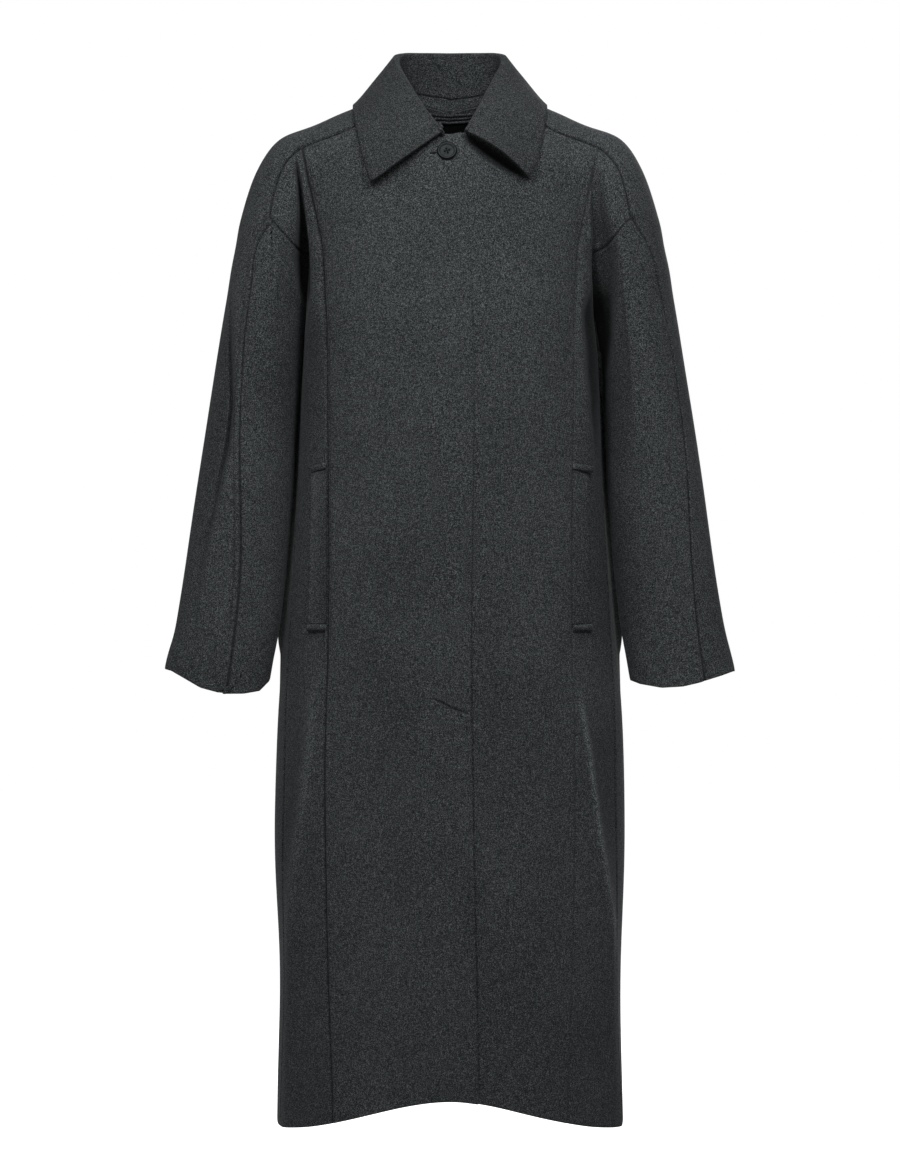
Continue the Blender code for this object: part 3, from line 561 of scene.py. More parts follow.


# painted shade along seams, sewn lines, creases and deep folds, and painted highlight where a fold's share is
# negative
def seamShade(node, co, no, far, neighbour, names):
    shade = seamSet["shade"]
    dark = shade["seam"] * seamShare(node, neighbour, names) * bell(far, shade["seamWide"])
    for here, off, deep, wide in sewnLines(node, co, far, neighbour, names):
        dark += np.where(here, shade["line"], 0.0) * bell(off, shade["lineWide"])
    seen = frontView(co)
    ahead = fadeIn(-no[:, 1], *foldSet["shade"])
    for name, full, part in foldShades:
        dark += part * np.clip(foldHeight(seen, frontFolds[name]) / (full * mm), 0, 1) * ahead
    for rows in deepFolds.values():
        depth = np.clip(-deepHeight(seen, rows) / shade["deepAt"], 0, 1) ** shade["deepTurn"]
        dark += shade["deep"] * depth * inFront(co)
    return np.clip(dark, shade["least"], shade["most"])


# slow unevenness of hanging cloth, the same on every run
waveSet = {"high": 0.5 * mm, "count": 14, "seed": 11}


def clothWaves(co):
    rng = np.random.default_rng(waveSet["seed"])
    total = np.zeros(len(co))
    for k in range(waveSet["count"]):
        across = rng.uniform(14.0, 60.0) * rng.choice((-1.0, 1.0))
        down = rng.uniform(4.0, 26.0)
        depth = rng.uniform(-20.0, 20.0)
        total += np.sin(co[:, 0] * across + co[:, 2] * down + co[:, 1] * depth + rng.uniform(0, 6.28))
    return total * waveSet["high"] / math.sqrt(waveSet["count"])


# how far the cloth has to turn to the front or back for a fold to show there: from and over
foldSet = {"facing": (0.02, 0.35), "shade": (0.02, 0.2), "deep": (-0.12, 0.3), "front": (0.002, 0.012)}
# soft troughs and ridges seen from the front, in mm on the plane through the neck:
# x, z, height, reach left, reach right
frontFolds = {
    "saddleShadeRight": [(-201, -52, 0, 7, 9), (-206, -74, -1.6, 8, 10), (-213, -98, -1.2, 8, 10),
        (-220, -118, 0, 7, 9)],
    "sleeveLineRight": [(-262, -190, 0, 2.2, 1.9), (-264, -230, -4, 2.2, 1.9), (-266, -282, -8, 2.4, 1.9),
        (-267, -343, -9.5, 2.4, 1.9), (-272, -390, -9, 2.4, 1.9), (-279, -428, -7, 2.4, 1.9),
        (-286, -474, -4.5, 2.4, 2), (-299, -545, -2, 2.6, 2.2), (-310, -610, 0, 2.6, 2.2)],
    "sleeveBandRight": [(-266, -200, 0, 12, 3), (-270, -282, -3, 13, 3), (-273, -343, -4, 14, 3),
        (-285, -428, -4, 14, 3), (-298, -520, -3, 14, 4), (-312, -620, 0, 12, 4)],
    "sleeveRidgeRight": [(-256, -180, 0, 4, 6), (-260, -280, 1.2, 4, 7), (-262, -330, 1.5, 4, 7),
        (-266, -400, 1.4, 4, 7), (-275, -470, 0, 4, 6)],
    "sleeveHollowRight": [(-232, -330, 0, 14, 14), (-238, -420, 1.6, 16, 16), (-246, -520, 1.8, 18, 16),
        (-252, -620, 0, 16, 14)],
    "sleeveHollowLeft": [(236, -300, 0, 14, 14), (246, -400, 1.5, 16, 16), (256, -500, 1.7, 18, 18),
        (270, -610, 0, 16, 16)],
    "skirtRidgeRight": [(-163, -640, 0, 10, 20), (-165, -690, 4, 10, 24), (-169, -738, 5.5, 9, 26),
        (-176, -816, 6, 9, 28), (-187, -890, 5.6, 8, 28), (-196, -988, 4, 8, 26), (-202, -1080, 0, 8, 22)],
    "skirtRidgeLeft": [(158, -660, 0, 20, 8), (160, -712, 5, 24, 7), (168, -756, 6.5, 26, 6.5),
        (179, -842, 7, 28, 6.5), (189, -902, 6.5, 28, 6), (198, -966, 5, 26, 6), (202, -1040, 0, 22, 6)],
    "skirtCrestRight": [(-164, -660, 0, 6, 7), (-166, -700, 1.8, 6, 7), (-170, -740, 2.2, 6, 7),
        (-177, -816, 2.4, 6, 7), (-188, -890, 2.2, 5, 7), (-197, -988, 1.6, 5, 6), (-202, -1060, 0, 5, 6)],
    "skirtCrestLeft": [(158, -690, 0, 4, 3), (161, -716, 2.4, 4, 2.6), (169, -760, 3, 3.6, 2.4),
        (180, -842, 3.2, 3.4, 2.2), (189, -902, 3.2, 3.4, 2.2), (198, -966, 2.6, 3.4, 2.2),
        (202, -1030, 0, 3.4, 2.4)],
    "flyEnd": [(-22, -694, 0, 1.4, 1.4), (-18, -696, -1.4, 1.4, 1.4), (-9.6, -699.6, -1.7, 1.4, 1.4),
        (4.8, -706.8, -1.7, 1.5, 1.4), (20, -712, -1.5, 1.4, 1.4), (25, -714, 0, 1.4, 1.4)],
    "sleeveInnerLeft": [(188, -240, 0, 12, 16), (190, -300, -1, 14, 20), (193, -400, -1, 14, 24),
        (199, -500, -1, 16, 26), (207, -600, -0.8, 16, 24), (214, -660, 0, 14, 18)],
    "skirtSideLeft": [(172, -690, 0, 8, 16), (178, -760, -1, 8, 20), (188, -842, -1, 7, 20), (197, -902, -1, 6, 18),
        (205, -980, -0.6, 5, 16), (208, -1050, 0, 5, 14)],
    "skirtSideRight": [(-178, -690, 0, 16, 8), (-184, -760, -1, 20, 8), (-192, -842, -1, 20, 7),
        (-202, -920, -1, 18, 6), (-208, -1000, 0, 14, 5)],
    "leafHollow": [(20, -16, 0, 6, 5), (29, -25, -8, 7, 6), (44, -36, -14, 8, 6.5), (60, -46, -15, 8, 6.5),
        (78, -59, -11, 7, 6), (92, -71, 0, 6, 5)],
    "leafShade": [(18, -16, 0, 3, 3), (27, -24, -1, 4.5, 4.5), (41, -32.5, -1, 6, 5.5), (60, -45, -1, 6.5, 6),
        (80, -59.5, -1, 4.5, 4.5), (92, -70, 0, 3, 3)],
    "lapHollow": [(52, -540, 0, 20, 30), (52, -620, -3, 24, 36), (54, -720, -4.2, 26, 40), (56, -820, -4, 26, 40),
        (58, -930, 0, 24, 36)],
    "hemWrinkle": [(-137, -992, 0, 5, 7), (-100, -994, -0.7, 5, 7), (-60, -995, -0.8, 5, 7), (-20, -993, 0, 5, 7)],
    "saddlePuckerA": [(108, -22, 0, 4, 4), (110, -30, -1, 4, 5), (108, -40, 0, 4, 5)],
    "saddlePuckerB": [(127, -26, 0, 4, 4), (130, -36, -1.1, 4, 5), (132, -48, 0, 5, 5)],
    "chestHollow": [(-120, -190, 0, 26, 30), (-95, -300, -1.1, 30, 34), (-80, -420, -1.2, 34, 36),
        (-70, -540, 0, 30, 30)],
    "chestSwell": [(78, -160, 0, 30, 26), (92, -280, 1.2, 34, 30), (96, -420, 1.3, 36, 30), (90, -560, 0, 30, 26)],
    "skirtHollow": [(-80, -690, 0, 26, 30), (-88, -800, -1.6, 30, 34), (-98, -930, -2.2, 34, 36),
        (-104, -1060, -2.4, 34, 36), (-106, -1190, -2.4, 34, 36)],
    "skirtSwell": [(60, -720, 0, 26, 26), (74, -850, 1.5, 32, 30), (86, -1000, 2.2, 36, 32),
        (92, -1190, 2.4, 36, 32)],
}
# folds with painted shade in their troughs, or painted highlight on their crests where the share is negative: height
# at which it is full, and how dark; leafShade is a near-flat row that carries only the painted shadow under the
# collar leaf
foldShades = [
    ("sleeveLineRight", -7.0, 0.6), ("sleeveBandRight", -4.0, 0.14), ("sleeveRidgeRight", 1.5, -0.28),
    ("leafShade", -0.7, 0.85), ("lapHollow", -4.2, 0.16), ("skirtCrestLeft", 3.0, -1.3),
    ("skirtCrestRight", 2.4, -0.5), ("skirtSideLeft", -1.0, 0.16), ("skirtSideRight", -1.0, 0.16),
    ("flyEnd", -1.5, 0.45), ("sleeveInnerLeft", -1.0, 0.26),
]
# the same kind of folds on the back, x and z in mm
backFolds = {
    "yokeDragRight": [(-70, -70, 0, 10, 14), (-100, -110, -2.6, 12, 16), (-132, -160, -3.4, 12, 16),
        (-156, -216, 0, 10, 14)],
    "yokeDragLeft": [(64, -80, 0, 14, 10), (96, -122, -2.2, 16, 12), (134, -176, -3.2, 16, 12),
        (154, -230, 0, 14, 10)],
    "bladeFoldRight": [(-128, -230, 0, 12, 16), (-118, -330, -3.4, 13, 17), (-110, -450, -4.2, 14, 18),
        (-104, -560, 0, 14, 18)],
    "bladeFoldLeft": [(120, -250, 0, 16, 12), (113, -340, -3, 16, 13), (108, -470, -3.8, 18, 14),
        (98, -590, 0, 18, 14)],
    "waistDragRight": [(-150, -420, 0, 9, 11), (-118, -452, -1.8, 9, 12), (-84, -470, 0, 9, 11)],
    "waistDragLeft": [(156, -468, 0, 10, 9), (126, -492, -1.5, 11, 9), (96, -504, 0, 10, 9)],
    "skirtFoldRight": [(-74, -640, 0, 14, 18), (-80, -760, 4.2, 15, 20), (-88, -920, 6, 16, 22),
        (-96, -1090, 6.6, 17, 24), (-100, -1215, 6.6, 17, 24)],
    "skirtTroughRight": [(-40, -700, 0, 14, 12), (-44, -840, -3.6, 15, 13), (-50, -1000, -4.8, 16, 14),
        (-55, -1215, -5.2, 17, 15)],
    "skirtFoldLeft": [(66, -690, 0, 18, 14), (76, -830, 4.6, 20, 15), (85, -990, 6.2, 22, 16),
        (93, -1215, 7, 24, 17)],
    "skirtTroughLeft": [(122, -620, 0, 13, 15), (128, -760, -3, 14, 16), (134, -940, -4.4, 15, 17),
        (138, -1215, -4.8, 16, 18)],
    "elbowRight": [(-222, -352, 0, 8, 9), (-246, -368, -3.2, 8, 10), (-276, -360, 0, 8, 9)],
    "elbowRightLow": [(-230, -420, 0, 9, 8), (-256, -430, -2.6, 9, 8), (-286, -418, 0, 9, 8)],
    "elbowLeft": [(224, -338, 0, 9, 8), (250, -356, -2.9, 10, 8), (276, -350, 0, 9, 8)],
    "elbowLeftLow": [(232, -404, 0, 8, 9), (262, -418, -3.1, 8, 9), (288, -408, 0, 8, 9)],
}


def frontView(co):
    # where each point is seen from the camera, brought to the plane through the neck
    away = cameraSet["away"]
    grow = away / (away + co[:, 1])
    across = co[:, 0] * grow
    tall = cameraSet["height"] + (co[:, 2] - cameraSet["height"]) * grow
    return np.stack([across, tall], axis=1)


def foldHeight(flat, rows):
    # height of one trough or ridge at each point, by its distance from the fold's line
    rows = np.array(rows, dtype=float) * mm
    best = np.full(len(flat), 9.0)
    height = np.zeros(len(flat))
    for a, b in zip(rows[:-1], rows[1:]):
        run = b[:2] - a[:2]
        long = np.hypot(*run)
        t = np.clip(((flat - a[:2]) @ run) / long ** 2, 0.0, 1.0)
        off = flat - (a[:2] + t[:, None] * run)
        far = np.hypot(off[:, 0], off[:, 1])
        side = run[0] * off[:, 1] - run[1] * off[:, 0]
        row = a[None, :] + (b - a)[None, :] * t[:, None]
        reach = np.where(side < 0, row[:, 3], row[:, 4])
        here = row[:, 2] * bell(far, reach)
        nearer = far < best
        best[nearer] = far[nearer]
        height[nearer] = here[nearer]
    return height


# the two steep folds from the shoulders to under the arms, in mm seen from the front:
# z, x of the left and right edges, depth, softness of the left and right edges
deepFolds = {
    "armFoldRight": [(-40, -190, -187, 0, 3, 2), (-56, -185.5, -182.5, -9, 3, 2), (-72, -183, -179, -16, 3.5, 2),
        (-100, -181, -175.5, -24, 4, 2.5), (-126, -181, -172, -30, 5, 2.5), (-150, -181, -167, -32, 5, 3),
        (-180, -180, -161, -30, 5, 3), (-204, -178, -160, -24, 5, 3), (-228, -172, -163, -10, 4, 3),
        (-242, -170, -167, 0, 4, 3)],
    "armFoldLeft": [(-50, 170, 178, 0, 3, 8), (-66, 170, 180, -4, 3, 8), (-96, 170, 183, -8, 4, 9),
        (-126, 170, 187, -11, 4, 12), (-150, 170, 189, -12, 6, 14), (-180, 166, 189, -13, 7, 14),
        (-204, 160, 189, -16, 7, 12), (-222, 155, 188, -24, 5, 7), (-232, 154, 188, -28, 4, 4),
        (-258, 154.5, 188, -28, 4, 4), (-300, 156, 185, -24, 4, 5), (-350, 161, 184, -18, 4, 5),
        (-400, 169, 184, -9, 4, 5), (-440, 175, 184, 0, 4, 5)],
}


def deepHeight(flat, rows):
    rows = np.array(rows, dtype=float) * mm
    left, right, depth, softLeft, softRight = (np.interp(-flat[:, 1], -rows[:, 0], rows[:, k]) for k in range(1, 6))
    x = flat[:, 0]
    return depth * softStep((x - left) / softLeft + 0.5) * softStep((right - x) / softRight + 0.5)


def inFront(co):
    # the folds under the arms fade out towards the sides
    return fadeIn(-co[:, 1], *foldSet["front"])


def foldPush(co, no):
    # front folds move along -y and back folds along +y, so neighbouring pieces stay together
    push = np.zeros(len(co))
    seen = frontView(co)
    start, over = foldSet["facing"]
    facing, behind = (np.clip((way * no[:, 1] - start) / over, 0.0, 1.0) for way in (-1, 1))
    for rows in frontFolds.values():
        push -= foldHeight(seen, rows) * facing
    ahead = fadeIn(-no[:, 1], *foldSet["deep"]) * inFront(co)
    for rows in deepFolds.values():
        push -= deepHeight(seen, rows) * ahead
    for rows in backFolds.values():
        push += foldHeight(co[:, [0, 2]], rows) * behind
    return push


# under each arm the body and the sleeve turn in steeply, and the side of the body rolls out behind the sleeve;
# in mm: z, x of the princess seam, x of the valley, share of the turn on the right and on the left, roll of the side
underarmSet = {
    "rows": [
        (-120, 158, 172, 0, 0, 0), (-144, 153, 170, 0.5, 0.5, 0), (-168, 150, 168, 1, 1, 0),
        (-204, 147, 170, 1, 1, 0), (-226, 145.5, 171, 1, 1, 0), (-244, 145, 172.5, 0.6, 1, 1.5),
        (-264, 144, 175, 0.2, 1, 5), (-282, 143, 177, 0, 1, 7.6), (-330, 143, 180, 0, 0.8, 8.2),
        (-384, 143, 182, 0, 0.4, 8.6), (-432, 143, 184, 0, 0, 9), (-480, 142, 188, 0, 0, 8.6),
        (-528, 142, 192, 0, 0, 8.6), (-576, 142, 197, 0, 0, 9.8), (-600, 142, 199, 0, 0, 10.4),
        (-618, 142, 201, 0, 0, 9.8), (-630, 142, 202, 0, 0, 7.6), (-642, 142, 203, 0, 0, 4.2),
        (-700, 144, 210, 0, 0, 0),
    ],
    "bodyTurn": 2.5, "sleeveTurn": (1.5, 1.9), "sleeveWide": 34.0 * mm, "front": (0.004, 0.016),
    "rollAt": 18.0 * mm, "rollWide": 16.0 * mm, "rollFrom": (0.13, 0.03),
}


def underarmPush(node, co):
    rows = np.array(underarmSet["rows"], dtype=float)
    wide = underarmSet["sleeveWide"]
    seam, valley, right, left, roll = (np.interp(-co[:, 2], -rows[:, 0] * mm, rows[:, k]) for k in range(1, 6))
    seam, valley, roll = seam * mm, valley * mm, roll * mm
    onRight = co[:, 0] < 0
    out = np.abs(co[:, 0])
    inward = np.clip((out - seam) / (valley - seam), 0.0, 1.0)
    bodyTo = seam + (valley - seam) * (1 - (1 - inward) ** underarmSet["bodyTurn"])
    beyond = np.clip((out - valley) / wide, 0.0, 1.0)
    turn = np.where(onRight, *underarmSet["sleeveTurn"])
    sleeveTo = valley + wide * (1 - (1 - beyond) ** turn)
    moved = np.where(out < seam, out, np.where(out < valley, bodyTo, np.where(beyond < 1, sleeveTo, out)))
    push = (moved - out) * np.where(onRight, right, left) * fadeIn(-co[:, 1], *underarmSet["front"])
    if not node.startswith("sleeve"):
        behind = bell(co[:, 1] - underarmSet["rollAt"], underarmSet["rollWide"])
        push += roll * behind * fadeIn(out, *underarmSet["rollFrom"])
    return push * np.sign(co[:, 0])


# the free edge of the lapped front stands off a little: z, lift, in mm
lapSet = {
    "rows": [(-30, 0), (-120, 0.6), (-400, 0.6), (-580, 1.2), (-700, 2.6), (-900, 2.8), (-1100, 2), (-1200, 1.6)],
    "edge": 26.0 * mm, "wide": 16.0 * mm, "press": 1.3 * mm, "pressWide": 4.0 * mm, "pressFrom": (-0.66, 0.08),
}


def lapLift(co):
    rows = np.array(lapSet["rows"]) * mm
    lift = np.interp(-co[:, 2], -rows[:, 0], rows[:, 1])
    return lift * softStep((co[:, 0] - lapSet["edge"] + lapSet["wide"]) / lapSet["wide"])


# the overarm seam on the wearer's right runs further forward: z, how far along the cloth, in mm
overarmSet = {"pair": ("sleeve_back_right", "sleeve_front_right"), "reach": 24.0 * mm, "before": 0.01,
              "rows": [(-70, 0), (-120, 4), (-190, 7.5), (-320, 8), (-560, 8), (-640, 7.5), (-700, 7)]}


def overarmSlide(node, co, no, far, neighbour, names):
    if node not in overarmSet["pair"]:
        return np.zeros_like(co)
    rows = np.array(overarmSet["rows"], dtype=float) * mm
    here = (neighbour == names.index(mateOf(overarmSet["pair"], node))) & (co[:, 1] < overarmSet["before"])
    run = np.interp(-co[:, 2], -rows[:, 0], rows[:, 1]) * bell(far, overarmSet["reach"]) * here
    along = unit(np.stack([-no[:, 1], no[:, 0], np.zeros(len(co))], axis=1))
    return along * run[:, None]


# the cuffs slant and round up at their corners: x seen from the front, how far the edge is raised, in mm
cuffSet = {
    "right": [(-345, 26), (-335, 24), (-320, 16), (-300, 5), (-272, -2), (-247, -3), (-228, -1), (-219, 7),
              (-212, 12)],
    "left": [(205, 16), (213, 11), (228, 5), (254, 0), (280, 1), (300, 5), (326, 13), (340, 18)],
    "above": 0.085,
}


def cuffRaise(node, co):
    rows = np.array(cuffSet["right" if node.endswith("right") else "left"]) * mm
    rise = np.interp(frontView(co)[:, 0], rows[:, 0], rows[:, 1])
    edge = co[:, 2].min()
    return rise * softStep((edge + cuffSet["above"] - co[:, 2]) / cuffSet["above"])


def smoothFaces(me):
    me.polygons.foreach_set("use_smooth", np.ones(len(me.polygons), dtype=bool))


def dressPiece(ob, mat, slot, *replaced):
    ob.data.materials.clear()
    ob.data.materials.append(mat)
    smoothFaces(ob.data)
    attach(ob, "root")
    if replaced:
        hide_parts(*replaced)


def finishCloth(ob, node, wall, mat, cut, slot="wool"):
    thick = ob.modifiers.new("cloth", "SOLIDIFY")
    thick.thickness = wall
    thick.offset = -1.0
    thick.use_even_offset = False
    soft = ob.modifiers.new("edges", "BEVEL")
    soft.width = wall * 0.32
    soft.segments = 2
    soft.limit_method = "ANGLE"
    soft.angle_limit = math.radians(50)
    dressPiece(ob, mat, slot, node)


for node, ob in panels.items():
    co = meshPoints(ob.data)
    far, neighbour, names, no, meet = seamMap(node, co, meshNormals(ob.data))
    co = co + meet
    moved = co + edgeLap(ob, neighbour) + no * (clothWaves(co) + seamDip(node, co, far, neighbour, names))[:, None]
    moved[:, 1] += foldPush(co, no)
    if node == "front_right":
        moved[:, 1] -= lapLift(co)
        pressed = np.where(neighbour < 0, lapSet["press"], 0.0) * bell(far, lapSet["pressWide"])
        moved[:, 1] += pressed * fadeIn(co[:, 2], *lapSet["pressFrom"]) * (co[:, 0] > 0)
    moved[:, 0] += underarmPush(node, co)
    moved += overarmSlide(node, co, no, far, neighbour, names)
    if node.startswith("sleeve"):
        moved[:, 2] += cuffRaise(node, co)
    setShade(ob.data, seamShade(node, co, no, far, neighbour, names))
    setPoints(ob.data, moved)
    finishCloth(ob, node, bodySet["wall"], wool, bodySet["pieces"][node])
print("seams and folds worked into the body and sleeves")


# collar: the leaves stand off the chest, more on the wearer's left;
# each leaf's lower edge in mm seen from the front, how far it comes forward and up, and how far that reaches
collarSet = {
    "wall": 0.0028, "levels": 2, "grid": {"fall": (56, 11), "stand": (56, 1)},
    "fall": {"flat": (0.685, 0.153), "area": 0.067}, "stand": {"flat": (0.476, 0.016), "area": 0.0067},
    "leaves": [
        {"from": (17, -15), "to": (95, -76), "ahead": 9.0, "up": 6.0, "tip": 3.0, "rise": 5.0, "reach": 24.0},
        {"from": (-12, -14), "to": (-97, -76), "ahead": 5.0, "up": 0.0, "tip": 4.0, "rise": 0.0, "reach": 22.0},
    ],
    "leafFront": {"turned": (0.1, 0.3), "ahead": (0.02, 0.02)},
    "seam": {"deep": 1.6 * mm, "wide": 1.4 * mm},
    "rim": {"right": 0.85, "left": 0.4, "wide": 1.7 * mm,
            "beyond": (0.084, 0.012), "below": (-0.022, 0.02), "before": 0.01},
    "crease": {"high": 1.5 * mm, "wide": 6.0 * mm, "turned": (0.3, 0.4), "behind": 0.03},
    "level": {"drop": 6.5 * mm, "over": 20.0 * mm, "blunt": 5.0 * mm, "behind": (0.008, 0.03)},
    # where the stand meets the backs: the part of its edge that is drawn in, how it fades, and where it comes to rest
    "meet": {"behind": 30.0 * mm, "below": 28.0 * mm, "half": 46.0 * mm, "soft": 12.0 * mm, "near": 1.0 * mm,
             "in": 0.9 * mm, "up": 0.4 * mm, "reach": 12.0 * mm},
}
# a darker copy of the wool for the collar and tape: partly its nap lying the other way, partly painted shade against
# the stronger light its upturned faces catch
collarShadedWool = makeWool("woolCollar", 0.74)  # the nap lies the other way on the collar


def levelNeck(co, top, bottom):
    # brings the neck seams level across the back of the neck, sliding along the cloth
    level = collarSet["level"]
    aside = np.hypot(co[:, 0], level["blunt"]) - level["blunt"]
    drop = level["drop"] * (1 - np.exp(-aside / level["over"]))
    fade = fadeIn(-co[:, 2], -top[1], top[1] - top[0]) * fadeIn(co[:, 2], bottom[0], bottom[1] - bottom[0])
    return drop * fade * fadeIn(co[:, 1], *level["behind"])


def neckMeet(stand):
    # across the back the stand's lower edge is drawn in to rest on the neck edges of the backs, where it is sewn on
    meet = collarSet["meet"]
    co = meshPoints(stand.data)
    neck = np.vstack([edgeSamples(panels[node].data)[0] for node in ("back_right", "back_left")])
    edge, moves = [], []
    for p in edgeSamples(stand.data)[0]:
        near = neck[np.abs(neck[:, 0] - p[0]) < meet["near"]]
        if p[1] > meet["behind"] and p[2] < meet["below"] and len(near):
            goal = near[near[:, 2].argmax()]
            move = np.array((0.0, goal[1] - meet["in"] - p[1], goal[2] + meet["up"] - p[2]))
            edge.append(p)
            moves.append(move * softStep((meet["half"] - abs(p[0])) / meet["soft"]))
    tree = treeOf(edge)
    for i, p in enumerate(co):
        index, far = tree.find(p)[1:]
        co[i] = p + moves[index] * softStep(1 - far / meet["reach"])
    setPoints(stand.data, co)


def liftLeaves(co, no):
    seen = frontView(co)
    moved = co.copy()
    front = collarSet["leafFront"]
    outside = fadeIn(-no[:, 1], *front["turned"]) * fadeIn(-co[:, 1], *front["ahead"])
    for leaf in collarSet["leaves"]:
        start, end = np.array(leaf["from"]) * mm, np.array(leaf["to"]) * mm
        run = end - start
        t = ((seen - start) @ run) / (run @ run)
        off = seen - (start + np.clip(t, 0, 1)[:, None] * run)
        near = bell(np.hypot(off[:, 0], off[:, 1]), leaf["reach"] * mm) * outside
        near = near * (np.sign(co[:, 0]) == np.sign(end[0]))
        belly = np.sin(np.pi * np.clip(t, 0, 1)) ** 0.8
        moved[:, 1] -= near * (leaf["ahead"] * belly + leaf["tip"] * softStep(t)) * mm
        moved[:, 2] += near * (leaf["up"] * belly + leaf["rise"] * softStep(t)) * mm
    return moved


def edgeDistance(ob, co):
    tree = treeOf(edgeSamples(ob.data)[0])
    return np.array([tree.find(p)[2] for p in co])


def rimShade(fall):
    # painted shadow along the turned outer edge of each leaf, more on the wearer's right
    rim = collarSet["rim"]
    co = meshPoints(fall.data)
    x, z = frontView(co).T
    outer = fadeIn(np.abs(x), *rim["beyond"]) * fadeIn(-z, *rim["below"]) * (co[:, 1] < rim["before"])
    dark = np.where(x < 0, rim["right"], rim["left"]) * outer
    setShade(fall.data, dark * bell(edgeDistance(fall, co), rim["wide"]))


def collarSheet(part):
    node = "collar_" + part
    sheet = squareSheet(node, *collarSet["grid"][part], collarSet["wall"], inner=part == "stand")
    return roundedSheet(sheet, camelName(node), collarSet["levels"])


def makeCollar():
    wall, crease, seam = (collarSet[key] for key in ("wall", "crease", "seam"))
    fall, stand = collarSheet("fall"), collarSheet("stand")
    refineEdge(fall)
    refineEdge(stand, 1, 2)
    co, no = meshPoints(fall.data), meshNormals(fall.data)
    moved = liftLeaves(co, no)
    # a soft crease at the middle of the back, seen inside
    inside = fadeIn(-no[:, 1], *crease["turned"]) * (co[:, 1] > crease["behind"])
    hidden = (no[:, 0] * co[:, 0] + no[:, 1] * co[:, 1]) < 0
    moved[:, 2] -= levelNeck(co, (0.036, 0.085), (-0.1, -0.05)) * hidden
    moved[:, 1] -= crease["high"] * bell(co[:, 0], crease["wide"]) * inside
    setPoints(fall.data, moved)
    co = meshPoints(stand.data)
    co[:, 2] -= levelNeck(co, (0.2, 0.3), (-0.1, -0.05))
    setPoints(stand.data, co)
    neckMeet(stand)
    # the two dip into the seam between them
    for ob, other in ((fall, stand), (stand, fall)):
        co, no = meshPoints(ob.data), meshNormals(ob.data)
        dip = seam["deep"] * bell(edgeDistance(other, co), seam["wide"])
        setPoints(ob.data, co - no * dip[:, None])
    rimShade(fall)
    finishCloth(fall, "collar_fall", wall, collarShadedWool, collarSet["fall"])
    finishCloth(stand, "collar_stand", wall, collarShadedWool, collarSet["stand"])
    print("collar made")


makeCollar()


# facing inside the back of the neck
facingSet = {
    "wall": 0.0012, "tone": (0.0014, 0.0018, 0.0021), "cut": {"flat": (0.169, 0.064), "area": 0.0073},
    "tape": 13.0 * mm, "tapeWall": 0.0010, "roll": 4.4 * mm, "high": 1.5 * mm, "off": 0.6 * mm,
}


def makeFacing():
    stops = [(place, [c * part for c in facingSet["tone"]]) for place, part in ((0.0, 0.5), (1.0, 1.8))]
    mat = speckled("facingCloth", (1400.0, 2.0, 0.6), stops, {"Roughness": 0.7, "Specular IOR Level": 0.08},
                   (1.0, 1.0, 0.5))
    facing = roundedSheet(squareSheet("back_neck_facing", 2, 28, facingSet["wall"], inner=True), "backNeckFacing", 3)
    co = meshPoints(facing.data)
    co[:, 2] -= levelNeck(co, (0.2, 0.3), (-0.026, 0.006))
    setPoints(facing.data, co)
    makeTape(facing)
    finishCloth(facing, "back_neck_facing", facingSet["wall"], mat, facingSet["cut"], "lining")
    print("neck facing made")


def makeTape(facing):
    # the neck seam is covered by a narrow rolled strip of the wool, taken from the top of the facing
    bm = openMesh(facing.data)
    top = [v for v in bm.verts if v.is_boundary
           and any(e.other_vert(v).co.z < v.co.z - 0.5 * e.calc_length() for e in v.link_edges)]
    tree = treeOf([v.co for v in top])
    below = [f for f in bm.faces if tree.find(f.calc_center_median())[2] > facingSet["tape"]]
    bmesh.ops.delete(bm, geom=below, context="FACES")
    down = [e for e in bm.edges if abs(e.verts[0].co.z - e.verts[1].co.z) > 0.5 * e.calc_length()]
    bmesh.ops.subdivide_edges(bm, edges=down, cuts=4, use_grid_fill=True)
    bm.normal_update()
    for v in bm.verts:
        far = tree.find(v.co)[2]
        v.co += v.normal * (facingSet["off"] + facingSet["high"] * abs(math.sin(math.pi * far / facingSet["roll"])))
    tape = linkMesh(bm, "neckTape")
    thick = tape.modifiers.new("cloth", "SOLIDIFY")
    thick.thickness = facingSet["tapeWall"]
    thick.offset = -1.0
    dressPiece(tape, collarShadedWool, "wool")


makeFacing()


# pockets: a welt on each side, with a short bar sewn at its ends; out is how far each stands off its solid's place
pocketSet = {
    "welt": {"right": {"round": 0.9 * mm, "out": 0.7 * mm}, "left": {"round": 0.7 * mm, "out": -0.9 * mm}},
    "weltFlat": (0.026, 0.184), "weltArea": 0.0047,
    "bar": {"round": 1.8 * mm, "out": 1.9 * mm},
    "turn": {"top_right": 12.0, "top_left": -7.0, "bottom_right": 0.0, "bottom_left": 2.0},
    "long": {"top_right": 1.0, "top_left": 1.3, "bottom_right": 1.1, "bottom_left": 1.1},
    # painted shade and painted highlight along the bars and along the welt, from the lower or inner edge to the upper
    # or outer one; positive values are shade, negative ones highlight
    "barShade": [(0.0, 0.7), (0.18, 0.5), (0.34, 0.0), (0.72, 0.0), (0.86, -0.55), (1.0, -0.3)],
    "weltShade": {"right": [(0.0, -0.4), (0.14, -0.25), (0.3, 0.0), (0.8, 0.0), (0.93, 0.3), (1.0, 0.5)],
                  "left": [(0.0, 0.0), (1.0, 0.0)]},
}


def blockShade(ob, axis, rows):
    co = meshPoints(ob.data)[:, axis]
    rows = np.array(rows)
    setShade(ob.data, np.interp((co - co.min()) / (co.max() - co.min()), rows[:, 0], rows[:, 1]))
    return ob


